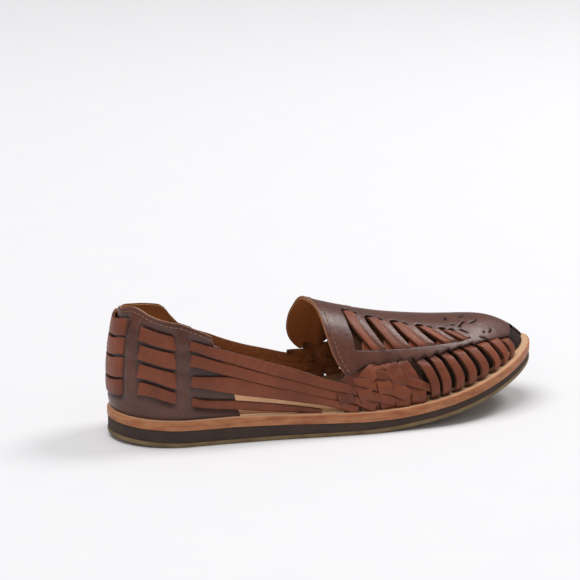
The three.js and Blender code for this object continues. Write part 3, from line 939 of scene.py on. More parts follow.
@dataclass
class Sheet:
    """A pattern piece cut from leather, wrapped on the last, with holes and rounded edges."""

    last: Last
    chart: Chart
    outline: Array
    holes: list[Array] = field(default_factory=list)
    top: float = 1.0
    thickness: float = 1.3
    rounding: float = 0.6
    spacing: float = 1.9
    seam: float = 0.64
    lift: Callable[[Array, Array], Array] | None = None
    pale: Callable[[Array, Array], Array] | None = None
    painted_shade: Callable[[Array, Array], Array] | None = None

    AROUND = 300.0
    UPWARD = {Chart.HEEL: 110.0, Chart.VAMP: 75.0}

    def flatten(self, rows: Array) -> Array:
        """Chart places as flat millimetres."""
        return rows * np.array([self.AROUND, self.UPWARD[self.chart]])

    def unroll(self, flat: Array) -> tuple[Array, Array]:
        """Signed step and v of flat millimetres.

        Args:
            flat: flat points.

        Returns:
            signed steps and shares of the rise.
        """
        first, second = flat[:, 0] / self.AROUND, flat[:, 1] / self.UPWARD[self.chart]
        if self.chart is Chart.HEEL:
            return first, second
        side = np.where(second < 0, -1.0, 1.0)
        return side * first, 1 - np.abs(second)

    def on_seam(self, flat: Array) -> Array:
        """Which flat points lie on the toe's middle line, where the two sides of the chart meet.

        Args:
            flat: flat points.

        Returns:
            a mask.
        """
        if self.chart is Chart.HEEL:
            return np.zeros(len(flat), bool)
        at_tip = flat[:, 0] > self.AROUND * (1 - 1e-6)
        return at_tip & (np.abs(flat[:, 1]) <= self.seam * self.UPWARD[self.chart] + 1e-6)

    def dense(self, ring: Array, step: float = 0.9) -> Array:
        """Closed ring with extra points so that no side is longer than the step.

        Args:
            ring: closed ring.
            step: longest side.

        Returns:
            the denser ring.
        """
        pieces = []
        for a, b in zip(ring, np.roll(ring, -1, axis=0)):
            count = max(1, math.ceil(np.linalg.norm(b - a) / step))
            pieces.append(a + (b - a) * (np.arange(count) / count)[:, None])
        return np.concatenate(pieces)

    def lay(self, draft: Draft, tone: float) -> None:
        """Adds the sheet to a draft.

        Args:
            draft: draft that takes it.
            tone: lightness of the sheet.
        """
        rings = [self.dense(self.flatten(np.asarray(r, float))) for r in [self.outline, *self.holes]]
        starts = np.concatenate(rings)
        ends = np.concatenate([np.roll(r, -1, axis=0) for r in rings])
        low, high = starts.min(0), starts.max(0)
        cols = np.arange(low[0], high[0], self.spacing)
        rows = np.arange(low[1], high[1], self.spacing * 0.87)
        grid = np.array([(x + (j % 2) * self.spacing / 2, y) for j, y in enumerate(rows) for x in cols])
        keep = inside(grid, rings[0])
        for ring in rings[1:]:
            keep &= ~inside(grid, ring)
        grid = grid[keep]
        grid = grid[distance_to(grid, starts, ends) > 1.6 * self.rounding + 0.35]
        collars = []
        for ring in rings:
            along = np.roll(ring, -1, axis=0) - np.roll(ring, 1, axis=0)
            along /= np.maximum(np.linalg.norm(along, axis=1, keepdims=True), 1e-9)
            across = np.stack([-along[:, 1], along[:, 0]], -1)
            for offset in (0.3 * self.rounding, 0.8 * self.rounding, 1.6 * self.rounding):
                for sign in (-1, 1):
                    moved = ring + sign * offset * across
                    good = inside(moved, rings[0]) & (distance_to(moved, starts, ends) > 0.85 * offset)
                    for other in rings[1:]:
                        good &= ~inside(moved, other)
                    collars.append(moved[good])
        points = np.concatenate([starts, *collars, grid])
        edges, first = [], 0
        for ring in rings:
            edges += [(first + i, first + (i + 1) % len(ring)) for i in range(len(ring))]
            first += len(ring)
        made = delaunay_2d_cdt([Vector(p) for p in points.tolist()], edges, [], 0, 1e-4)
        flat = np.array([tuple(p) for p in made[0]])
        triangles = np.array([tuple(t) for t in made[2]])
        centres = flat[triangles].mean(1)
        keep = inside(centres, rings[0])
        for ring in rings[1:]:
            keep &= ~inside(centres, ring)
        self.wrap(draft, flat, triangles[keep], starts, ends, tone)

    def wrap(
        self, draft: Draft, flat: Array, triangles: Array, starts: Array, ends: Array, tone: float
    ) -> None:
        """Wraps a flat triangulation on the last and closes it to a solid.

        Args:
            draft: draft that takes the sheet.
            flat: flat points.
            triangles: triangles as indices of flat points.
            starts: first ends of the edge's segments.
            ends: second ends of them.
            tone: lightness of the sheet.
        """
        s, v = self.unroll(flat)
        base, facing = self.last.skin(s, v), self.last.facing(s, v)
        open_edge = ~self.on_seam((starts + ends) / 2)
        edge_a = self.last.skin(*self.unroll(starts[open_edge]))
        edge_b = self.last.skin(*self.unroll(ends[open_edge]))
        distance = distance_to(base, edge_a, edge_b)
        r = self.rounding
        fall = r - np.sqrt(np.maximum(r * r - (r - np.minimum(distance / 1.5, r)) ** 2, 0))
        lift = self.lift(s, v) if self.lift else np.zeros(len(flat))
        upper = base + facing * (self.top + lift - fall)[:, None]
        lower = base + facing * (self.top + lift - self.thickness)[:, None]
        n = len(flat)
        pairs: dict[tuple[int, int], int] = {}
        for a, b, c in triangles:
            for i, j in ((a, b), (b, c), (c, a)):
                pairs[(i, j)] = pairs.get((i, j), 0) + 1
        faces = [tuple(t) for t in triangles] + [(c + n, b + n, a + n) for a, b, c in triangles]
        on_seam = self.on_seam(flat)
        for (i, j) in pairs:
            if (j, i) not in pairs and not (on_seam[i] and on_seam[j]):
                faces.append((i, i + n, j + n, j))
        edge = np.clip(1 - distance / (1.1 * r), 0, 1)
        pale = self.pale(s, v) if self.pale else np.zeros(n)
        cut = np.concatenate([edge * pale, np.where(distance < 0.05, 0.8, 0.0) * pale])
        under = np.concatenate([np.zeros(n), np.ones(n)])
        # Painted shade: the sheet darkens towards its cut edges, except where the edge is left pale, and
        # takes the piece's own painted shade as well.
        edge_shade = 0.75 * np.clip(1 - distance / 1.5, 0, 1) * (1 - pale)
        edge_shade = np.maximum(edge_shade, self.painted_shade(s, v)) if self.painted_shade else edge_shade
        painted_shade = np.concatenate([edge_shade, edge_shade])
        used = np.zeros(2 * n, bool)
        used[np.unique(np.concatenate([np.array(f) for f in faces]))] = True
        renumber = np.cumsum(used) - 1
        faces = [tuple(renumber[list(f)]) for f in faces]
        draft.add(
            np.concatenate([upper, lower])[used], faces, np.concatenate([flat, flat])[used],
            cut[used], under[used], painted_shade[used], tone,
        )


@dataclass
class Seam:
    """A row of lockstitches: short thread arches with their ends sunk in the leather."""

    length: float = 2.3
    pitch: float = 2.9
    radius: float = 0.32
    sides: int = 6

    def sew(self, draft: Draft, path: Array, facing: Array) -> None:
        """Sews along a path.

        Args:
            draft: draft that takes the stitches.
            path: points of the row.
            facing: outward direction at each point.
        """
        spans = np.linalg.norm(np.diff(path, axis=0), axis=1)
        run = np.concatenate([[0.0], np.cumsum(spans)])
        for start in np.arange(0.5, run[-1] - self.length, self.pitch):
            t = np.linspace(0, 1, 7)
            at = start + t * self.length
            line = np.stack([np.interp(at, run, path[:, k]) for k in range(3)], -1)
            up = np.stack([np.interp(at, run, facing[:, k]) for k in range(3)], -1)
            line = line + up * (0.32 * np.sin(math.pi * t) - 0.18)[:, None]
            along = line[-1] - line[0]
            along /= np.linalg.norm(along)
            across = np.cross(along, up)
            across /= np.linalg.norm(across, axis=1, keepdims=True)
            size = self.radius * (0.55 + 0.45 * np.sin(math.pi * t))[:, None]
            turns = 2 * math.pi * np.arange(self.sides) / self.sides
            rows = [line + size * (math.cos(a) * across + math.sin(a) * up) for a in turns]
            steps = len(t)
            faces = [
                (j * steps + i, j * steps + i + 1, k * steps + i + 1, k * steps + i)
                for j in range(self.sides)
                for k in [(j + 1) % self.sides]
                for i in range(steps - 1)
            ]
            faces.append(tuple(j * steps for j in range(self.sides)))
            faces.append(tuple(j * steps + steps - 1 for j in range(self.sides - 1, -1, -1)))
            points = np.concatenate(rows)
            none = np.zeros(len(points))
            draft.add(points, faces, points[:, :2], none, none, none, 0.0)


# ------------------------------------------------------------------ sole


class Ring(NamedTuple):
    """One ring of a sole sheet's edge: how far in from the outline, how far from a face."""

    inset: float
    height: float


@dataclass
class SoleUnit:
    """Gum tread, dark midsole, leather sole and footbed, stacked to the outline."""

    last: Last
    finishes: Finishes
    steps: int = 150
    across: int = 12
    footbed_thickness: float = 2.0
    footbed_inset: float = 2.7

    def slab(
        self,
        name: str,
        low: Callable[[Array], Array],
        high: Callable[[Array], Array],
        soft_low: float,
        soft_high: float,
        base_inset: Callable[[Array], Array],
        finish: bpy.types.Material,
        slot: Slot,
        node: str,
    ) -> None:
        """Builds one sheet of the sole.

        Args:
            name: name of the piece.
            low: height of its lower face at a station.
            high: height of its upper face.
            soft_low: rounding of the lower edge.
            soft_high: rounding of the upper edge.
            base_inset: how far its edge lies in from the sole's outline at a station.
            finish: its material.
            slot: its slot in the record.
            node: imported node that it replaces.
        """
        q = np.linspace(0, 1, self.steps + 1)
        angles = np.radians([90, 60, 30, 0])
        lower = [Ring(soft_low * (1 - math.cos(a)), soft_low * (1 - math.sin(a))) for a in angles]
        upper = [Ring(soft_high * (1 - math.cos(a)), soft_high * (1 - math.sin(a))) for a in angles[::-1]]
        profile = [(ring, True) for ring in lower] + [(ring, False) for ring in upper]
        shares = np.linspace(0, 1, self.across + 1)[1:-1]
        halves = []
        for side in (Side.OUTER, Side.INNER):
            rings = []
            for ring, from_low in profile:
                sides = np.full_like(q, side)
                flat = self.last.inset(q, sides, base_inset(self.last.station(q)) + ring.inset)
                x = flat[:, 0]
                z = low(x) + ring.height if from_low else high(x) - ring.height
                rings.append(np.concatenate([flat, z[:, None]], -1))
            halves.append(rings)
        draft = Draft()
        count = self.steps + 1
        faces: list[tuple[int, ...]] = []
        points: list[Array] = []
        cut: list[Array] = []
        rows = len(profile)
        for rings in halves:
            for k, ring in enumerate(rings):
                points.append(ring)
                cut.append(np.full(count, 1.0 if 0 < k < rows - 1 else 0.25))
        for half in range(2):
            first = half * rows * count
            for k in range(rows - 1):
                for i in range(self.steps):
                    a = first + k * count + i
                    faces.append((a, a + 1, a + 1 + count, a + count))
        for ring_index, level in ((0, low), (rows - 1, high)):
            outer, inner = halves[0][ring_index], halves[1][ring_index]
            grid = [ring_index * count + np.arange(count)]
            for share in shares:
                flat = outer[:, :2] + (inner[:, :2] - outer[:, :2]) * share
                grid.append(sum(len(p) for p in points) + np.arange(count))
                points.append(np.concatenate([flat, level(flat[:, 0])[:, None]], -1))
                cut.append(np.zeros(count))
            grid.append((rows + ring_index) * count + np.arange(count))
            for first_row, second_row in zip(grid, grid[1:]):
                for i in range(self.steps):
                    faces.append((first_row[i], first_row[i + 1], second_row[i + 1], second_row[i]))
        every = np.concatenate(points)
        none = np.zeros(len(every))
        draft.add(every, faces, every[:, :2], np.concatenate(cut), none, none, 0.0)
        draft.make(name, self.last, finish, slot, node)

    def build(self) -> None:
        """Builds the four sheets."""
        last, finishes = self.last, self.finishes
        flush = np.zeros_like

        def gum_top(x: Array) -> Array:
            """Upper face of the gum tread."""
            return last.floor_lift(x) + last.gum

        def bed_base(x: Array) -> Array:
            """Lower face of the footbed."""
            return last.leather_top(x) + 0.1

        def bed_top(x: Array) -> Array:
            """Upper face of the footbed."""
            return last.leather_top(x) + last.gap + self.footbed_thickness

        self.slab(
            "gum_outsole", last.floor_lift, gum_top, 0.5, 0.25, flush, finishes.gum, Slot.GUM, "outsole"
        )
        self.slab(
            "rubber_midsole", gum_top, last.midsole_top, 0.25, 0.3, lambda x: 0 * x + 0.35,
            finishes.midsole, Slot.RUBBER, "midsole",
        )
        self.slab(
            "stacked_leather_sole", last.midsole_top, last.leather_top, 0.35, 1.1, flush,
            finishes.sole, Slot.SOLE_LEATHER, "leather_sole",
        )
        self.slab(
            "leather_footbed", bed_base, bed_top, 0.1, 0.7, lambda x: last.ledge(x) + self.footbed_inset,
            finishes.footbed, Slot.FOOTBED, "footbed",
        )


# ------------------------------------------------------------------ heel counter and straps


class Rim(NamedTuple):
    """A place on an edge of the upper."""

    x: float
    v: float


class Band(NamedTuple):
    """Lower and upper edge of a strip at a station."""

    x: float
    low: float
    high: float


COLLAR_OUTER = (
    Rim(0, 0.530), Rim(2, 0.543), Rim(5, 0.550), Rim(9, 0.542), Rim(16, 0.514), Rim(23, 0.492),
    Rim(30, 0.475),
    Rim(40, 0.454), Rim(47, 0.437), Rim(53.5, 0.414),
)
COLLAR_INNER = (
    Rim(0, 0.530), Rim(3, 0.518), Rim(9, 0.508), Rim(19, 0.487), Rim(30, 0.466), Rim(36, 0.452),
    Rim(39, 0.441),
    Rim(42, 0.418), Rim(45, 0.392), Rim(48, 0.370),
)
COUNTER_FRONT = (
    Rim(55.5, 0.35), Rim(60, 0.29), Rim(63.5, 0.20), Rim(66, 0.10), Rim(68.5, 0.0), Rim(68.7, -0.012),
)
SIDE_STRAPS = (
    (
        Band(0, 0.412, 0.485), Band(4, 0.420, 0.497), Band(15, 0.395, 0.459), Band(31, 0.352, 0.415),
        Band(41, 0.345, 0.392), Band(56, 0.303, 0.360), Band(86.5, 0.232, 0.306), Band(103.5, 0.200, 0.280),
        Band(120.5, 0.161, 0.238), Band(130, 0.146, 0.222), Band(137, 0.117, 0.203), Band(148, 0.070, 0.156),
        Band(156, 0.030, 0.121), Band(165, -0.020, 0.048),
    ),
    (
        Band(0, 0.325, 0.403), Band(4, 0.340, 0.416), Band(15, 0.315, 0.383), Band(31, 0.270, 0.344),
        Band(41, 0.273, 0.335), Band(60, 0.225, 0.288), Band(88, 0.162, 0.232), Band(104, 0.133, 0.203),
        Band(120, 0.097, 0.166), Band(130, 0.078, 0.148), Band(137, 0.040, 0.118), Band(146, -0.020, 0.072),
    ),
    (
        Band(0, 0.222, 0.317), Band(4, 0.232, 0.330), Band(15, 0.235, 0.302), Band(31, 0.180, 0.258),
        Band(41, 0.176, 0.232), Band(64.5, 0.124, 0.214), Band(86, 0.094, 0.168), Band(104, 0.069, 0.140),
        Band(119, 0.045, 0.104), Band(128, 0.012, 0.083), Band(136, -0.025, 0.050),
    ),
    (
        Band(0, 0.125, 0.212), Band(4, 0.135, 0.225), Band(15, 0.150, 0.220), Band(31, 0.100, 0.165),
        Band(41, 0.076, 0.128), Band(50, 0.057, 0.106), Band(68, 0.033, 0.087), Band(90, 0.012, 0.063),
        Band(106, -0.006, 0.042), Band(115, -0.030, 0.026),
    ),
)
INNER_DROP = (
    Level(0, 1.0), Level(20, 1.0), Level(30, 0.985), Level(44, 0.955), Level(64, 0.925), Level(78, 0.885),
    Level(95, 0.865), Level(110, 0.870), Level(119, 0.92), Level(130, 1.0),
)


def signed(last: Last, x: Array, side: Side) -> Array:
    """Steps for stations, signed by the side."""
    return side * last.step(x)


@dataclass
class HeelCounter:
    """Smooth leather counter with slit bars, tan lining and a stitched collar."""

    last: Last
    finishes: Finishes
    bar_a: tuple[float, float] = (6.0, 11.6)
    bar_b: tuple[float, float] = (32.2, 40.6)
    bar_lift: float = 0.7
    recess: float = 1.5
    lean: float = 2.4
    stitch_drop: float = 0.022

    def rim(self, side: Side, drop: float = 0.0) -> Array:
        """Collar edge of one side from the centre back forwards.

        Args:
            side: side of the shoe.
            drop: how far below the edge the line runs, as a share of the rise.

        Returns:
            Chart points (signed step, v).
        """
        rows = COLLAR_OUTER if side is Side.OUTER else COLLAR_INNER
        height = column(rows, "v")
        q = np.linspace(0, self.last.step(rows[-1].x), 40)
        return np.stack([side * q, height(self.last.station(q)) - drop], -1)

    def outline(self, drop: float = 0.0) -> Array:
        """Closed outline of the counter on the heel chart.

        Args:
            drop: how far the rim is lowered.

        Returns:
            signed steps and shares of the rise.
        """
        parts = []
        for side in (Side.OUTER, Side.INNER):
            front = np.array([(signed(self.last, r.x, side), r.v) for r in COUNTER_FRONT])
            foot = np.array([(signed(self.last, x, side), -0.012) for x in (60, 45, 30, 18, 9, 3)])
            part = np.concatenate([self.rim(side, drop), front, foot])
            parts.append(part)
        outer, inner = parts
        return np.concatenate([outer[1:], [[0.0, -0.012]], inner[1:][::-1], [outer[0]]])

    def lift(self, s: Array, v: Array) -> Array:
        """Extra height where the bars pass over the straps, with dips between straps.

        Args:
            s: signed steps.
            v: shares of the rise.

        Returns:
            Millimetres added to the sheet.
        """
        x = self.last.station(np.abs(s))
        rise = np.zeros_like(x)
        for low, high in (self.bar_a, self.bar_b):
            rise += smooth(x, low - 2.2, low + 1.0) * (1 - smooth(x, high - 1.0, high + 2.2))
        drop = np.where(s > 0, column(INNER_DROP, "size")(x), 1.0)
        over = np.zeros_like(x)
        for rows in SIDE_STRAPS:
            low, high = column(rows, "low")(x) * drop, column(rows, "high")(x) * drop
            over += smooth(v, low - 0.012, low + 0.02) * (1 - smooth(v, high - 0.02, high + 0.012))
        top = column(SIDE_STRAPS[0], "high")(x) * drop
        foot = column(SIDE_STRAPS[-1], "low")(x) * drop
        woven = smooth(v, foot - 0.03, foot) * (1 - smooth(v, top, top + 0.03))
        bars = rise * (0.25 + 0.75 * np.clip(over, 0, 1)) * self.bar_lift
        return bars - self.recess * (1 - rise) * woven - self.leaning(x, v)

    def leaning(self, x: Array, v: Array) -> Array:
        """How far the collar leans in at the back."""
        return self.lean * smooth(v, 0.42, 0.56) * (1 - smooth(x, 10, 26))

    def pale(self, s: Array, v: Array) -> Array:
        """Only the collar edge is left pale."""
        return smooth(v, 0.36, 0.39)

    def painted_shade(self, s: Array, v: Array) -> Array:
        """Painted shade between the straps and above the sole.

        Args:
            s: signed steps.
            v: shares of the rise.

        Returns:
            amount between 0 and 1.
        """
        x = self.last.station(np.abs(s))
        drop = np.where(s > 0, column(INNER_DROP, "size")(x), 1.0)
        near = np.zeros_like(x)
        for rows in SIDE_STRAPS:
            low, high = column(rows, "low")(x) * drop, column(rows, "high")(x) * drop
            near = np.maximum(near, smooth(v, low - 0.03, low - 0.006) * (1 - smooth(v, high, high + 0.010)))
        bars = np.zeros_like(x)
        for low, high in (self.bar_a, self.bar_b):
            bars += smooth(x, low - 0.6, low + 1.4) * (1 - smooth(x, high - 1.4, high + 0.6))
        return np.maximum(0.8 * near * (1 - bars), 0.55 * (1 - smooth(v, 0.0, 0.035)))

    def lining_lift(self, s: Array, v: Array) -> Array:
        """The lining lies against the counter at the rim and deeper below it.

        Args:
            s: signed steps.
            v: shares of the rise.

        Returns:
            lift in mm.
        """
        x = self.last.station(np.abs(s))
        outer, inner = column(COLLAR_OUTER, "v")(x), column(COLLAR_INNER, "v")(x)
        top = np.where(s < 0, outer, inner)
        return -1.75 * smooth(top - v, 0.03, 0.09) - self.leaning(x, v)

    def build(self) -> None:
        """Builds the counter, its lining and the collar stitching."""
        draft = Draft()
        Sheet(
            self.last, Chart.HEEL, self.outline(), top=0.75, thickness=1.3, lift=self.lift,
            pale=self.pale, painted_shade=self.painted_shade,
        ).lay(draft, 0.1)
        draft.make("heel_counter_leather", self.last, self.finishes.smooth, Slot.SMOOTH, "heel_counter")
        lining = Draft()
        Sheet(
            self.last, Chart.HEEL, self.outline(0.004), top=-0.55, thickness=0.9, rounding=0.4,
            lift=self.lining_lift, pale=self.pale, spacing=2.4,
        ).lay(lining, 0.2)
        lining.make("heel_lining", self.last, self.finishes.lining, Slot.SMOOTH)
        thread = Draft()
        outer = self.rim(Side.OUTER, self.stitch_drop)[::-1]
        row = np.concatenate([outer, self.rim(Side.INNER, self.stitch_drop)[1:]])
        height = 0.78 + self.lift(row[:, 0], row[:, 1])
        path = self.last.skin(row[:, 0], row[:, 1], height)
        Seam().sew(thread, path, self.last.facing(row[:, 0], row[:, 1]))
        thread.make("collar_stitching", self.last, self.finishes.thread, Slot.SMOOTH)


class Wave(NamedTuple):
    """Height of a strap at a station, which lies further forward at its upper edge by the slant."""

    x: float
    lift: float
    slant: float = 0.0


HEEL_WAVE = (
    Wave(0, 0.35), Wave(3.4, 0.25), Wave(6.0, -1.05), Wave(10.3, -1.05, 1.1), Wave(12.4, 0.15, 1.3),
    Wave(16.5, 0.35), Wave(27, 0.35), Wave(31.0, 0.15, -1.2), Wave(33.4, -1.05, -1.2), Wave(39.3, -1.05, 1.5),
    Wave(41.6, 0.15, 1.6), Wave(46, 0.35), Wave(62, 0.2), Wave(74, 0.1), Wave(110, 0.0),
)


@dataclass
class WeavePlan:
    """Which strip passes over at each crossing of the rows and the uprights."""

    height: float = 0.85
    run_in: float = 9.0
    rise_in: float = 0.07

    def __post_init__(self) -> None:
        """Finds every crossing of a row's middle with an upright."""
        rows = (SIDE_STRAPS[2], SIDE_STRAPS[1], SIDE_STRAPS[0], BASKET_ROWS[1], BASKET_ROWS[0])
        self.rows = {id(row): number for number, row in enumerate(rows)}
        self.crossings: list[tuple[int, int, float, float]] = []
        for number, row in enumerate(rows):
            middle = Curve(tuple(b.x for b in row), tuple((b.low + b.high) / 2 for b in row))
            for upright, places in enumerate(UPRIGHTS):
                path = smooth_path(places, 400)
                apart = path[:, 1] - middle(path[:, 0])
                inside_row = (path[:, 0] > row[0].x) & (path[:, 0] < row[-1].x)
                hits = np.nonzero((apart[:-1] < 0) & (apart[1:] >= 0) & inside_row[1:])[0]
                self.crossings += [(number, upright, *path[hit]) for hit in hits[:1]]

    def lift(self, knots: list[tuple[float, float]], at: Array, run_in: float) -> Array:
        """Height between crossings, flat before the first and after the last one.

        Args:
            knots: place and height of each crossing.
            at: places to read.
            run_in: length of the flat ends.

        Returns:
            heights in mm.
        """
        knots = sorted(knots)
        ends = [(knots[0][0] - run_in, 0.0), *knots, (knots[-1][0] + run_in, 0.0)]
        return Curve(tuple(k[0] for k in ends), tuple(k[1] for k in ends))(at)

    def row(self, row: tuple[Band, ...], x: Array) -> Array:
        """Height of a row at its stations.

        Args:
            row: bands of the row.
            x: stations.

        Returns:
            heights in mm.
        """
        number = self.rows.get(id(row))
        knots = [
            (place, self.height * (-1) ** (number + upright))
            for n, upright, place, _ in self.crossings
            if n == number
        ] if number is not None else []
        return self.lift(knots, x, self.run_in) if knots else np.zeros_like(x)

    def upright(self, upright: int, v: Array) -> Array:
        """Height of an upright at its shares of the rise.

        Args:
            upright: number of the upright.
            v: shares of the rise.

        Returns:
            heights in mm.
        """
        knots = [
            (level, -self.height * (-1) ** (number + upright))
            for number, u, _, level in self.crossings
            if u == upright
        ]
        return self.lift(knots, v, self.rise_in)


@dataclass
class SideStraps:
    """Four straps that run round the heel in one piece, through the counter's slits."""

    last: Last
    finishes: Finishes
    rng: np.random.Generator
    plan: WeavePlan
    ribbon: Ribbon = field(default_factory=Ribbon)
    samples: int = 260
    tiers: tuple[float, ...] = (0.35, 0.05, -0.15, -0.3)

    def build(self) -> None:
        """Builds the straps."""
        lifts = tuple(w.lift for w in HEEL_WAVE)
        heels = [Curve(tuple(w.x + sign * w.slant for w in HEEL_WAVE), lifts) for sign in (-1, 1)]
        drop = column(INNER_DROP, "size")
        for number, rows in enumerate(SIDE_STRAPS):
            reach = self.last.step(rows[-1].x)
            s = np.linspace(-reach, reach, self.samples)
            x = self.last.station(np.abs(s))
            share = np.where(s > 0, drop(x), 1.0)
            low, high = column(rows, "low")(x) * share, column(rows, "high")(x) * share
            low, high = np.minimum(low, high - 0.02), high
            left, right = self.last.skin(s, low), self.last.skin(s, high)
            facing = self.last.facing(s, np.clip((low + high) / 2, 0.01, 1))
            woven = smooth(x, 112, 122)
            tier = self.tiers[number] * smooth(x, 60, 80) * (1 - woven)
            wave = self.plan.row(rows, x) * woven
            lift = np.stack([heel(x) * (1 - woven) + tier + wave for heel in heels], -1)
            # Painted shade where the strap dips under the counter's bars.
            painted_shade = 0.9 * (1 - smooth(heels[0](x), -1.0, 0.1)) * (1 - woven)
            draft = Draft()
            self.ribbon.lay(draft, left, right, facing, lift, float(self.rng.uniform(0.1, 0.6)), painted_shade)
            stands_for = ("upper",) if number == 0 else ()
            draft.make(f"side_strap_{number + 1}", self.last, self.finishes.strap, Slot.STRAP, *stands_for)


# ------------------------------------------------------------------ basket weave and loops


BASKET_ROWS = (
    (
        Band(136, 0.275, 0.320), Band(143, 0.270, 0.335), Band(150.4, 0.259, 0.336), Band(157, 0.236, 0.320),
        Band(164, 0.205, 0.290), Band(173, 0.150, 0.250), Band(179, 0.105, 0.199), Band(184, 0.060, 0.150),
    ),
    (
        Band(126, 0.222, 0.256), Band(134, 0.208, 0.268), Band(141, 0.190, 0.270), Band(148, 0.156, 0.260),
        Band(156, 0.121, 0.236), Band(164, 0.060, 0.205), Band(172, 0.000, 0.140), Band(178, -0.040, 0.090),
    ),
)
UPRIGHTS = (
    (Rim(135, -0.03), Rim(131, 0.06), Rim(128.3, 0.13), Rim(128.5, 0.19), Rim(133, 0.245), Rim(139, 0.27)),
    (Rim(147, -0.03), Rim(143, 0.07), Rim(140, 0.16), Rim(140, 0.24), Rim(144.5, 0.31), Rim(150, 0.36)),
    (Rim(155, -0.03), Rim(153.5, 0.08), Rim(152.5, 0.18), Rim(151.5, 0.28), Rim(149, 0.39)),
    (Rim(163, -0.03), Rim(163, 0.08), Rim(161.5, 0.19), Rim(160, 0.29), Rim(156, 0.42)),
    (Rim(171, -0.03), Rim(173, 0.10), Rim(171, 0.21), Rim(167.5, 0.31), Rim(163, 0.43)),
)


class Loop(NamedTuple):
    """A fisherman loop: its rear and front edge at the foot, the belly and the top."""

    high: float
    rear_foot: float
    rear_belly: float
    rear_top: float
    front_foot: float
    front_belly: float
    front_top: float


BELLY = 0.20
LOOPS = (
    Loop(0.455, 180.4, 179.6, 172.5, 186.0, 185.6, 179.5),
    Loop(0.480, 187.6, 187.2, 181.5, 193.0, 193.4, 187.5),
    Loop(0.495, 195.5, 196.6, 189.4, 201.4, 202.6, 195.6),
    Loop(0.515, 204.6, 205.6, 197.6, 210.2, 211.6, 204.2),
    Loop(0.530, 213.8, 215.0, 205.6, 219.6, 221.0, 213.0),
    Loop(0.540, 223.8, 225.8, 214.5, 229.6, 231.4, 224.0),
    Loop(0.530, 232.4, 234.6, 227.0, 237.0, 240.0, 237.4),
    Loop(0.455, 238.9, 242.2, 240.2, 242.6, 247.2, 247.0),
)


def smooth_path(rows: Sequence[Rim], count: int) -> Array:
    """Smooth (x, v) path through a few places.

    Args:
        rows: places in order.
        count: number of points returned.

    Returns:
        Points (count, 2).
    """
    order = tuple(float(i) for i in range(len(rows)))
    t = np.linspace(0, order[-1], count)
    xs = Curve(order, tuple(r.x for r in rows))(t)
    vs = Curve(order, tuple(r.v for r in rows))(t)
    return np.stack([xs, vs], -1)


def widen(last: Last, path: Array, side: Side, width: Array | float) -> tuple[Array, Array, Array]:
    """Edges of a strip of a given width along a path on the last.

    Args:
        last: the last.
        path: (x, v) places of its middle.
        side: side of the shoe.
        width: width in millimetres.

    Returns:
        Left edge, right edge and outward direction.
    """
    s = signed(last, path[:, 0], side)
    middle, facing = last.skin(s, path[:, 1]), last.facing(s, np.maximum(path[:, 1], 0.01))
    along = np.gradient(middle, axis=0)
    across = np.cross(facing, along)
    across /= np.linalg.norm(across, axis=1, keepdims=True)
    half = np.asarray(width * np.ones(len(path)) / 2)[:, None]
    return middle - across * half, middle + across * half, facing


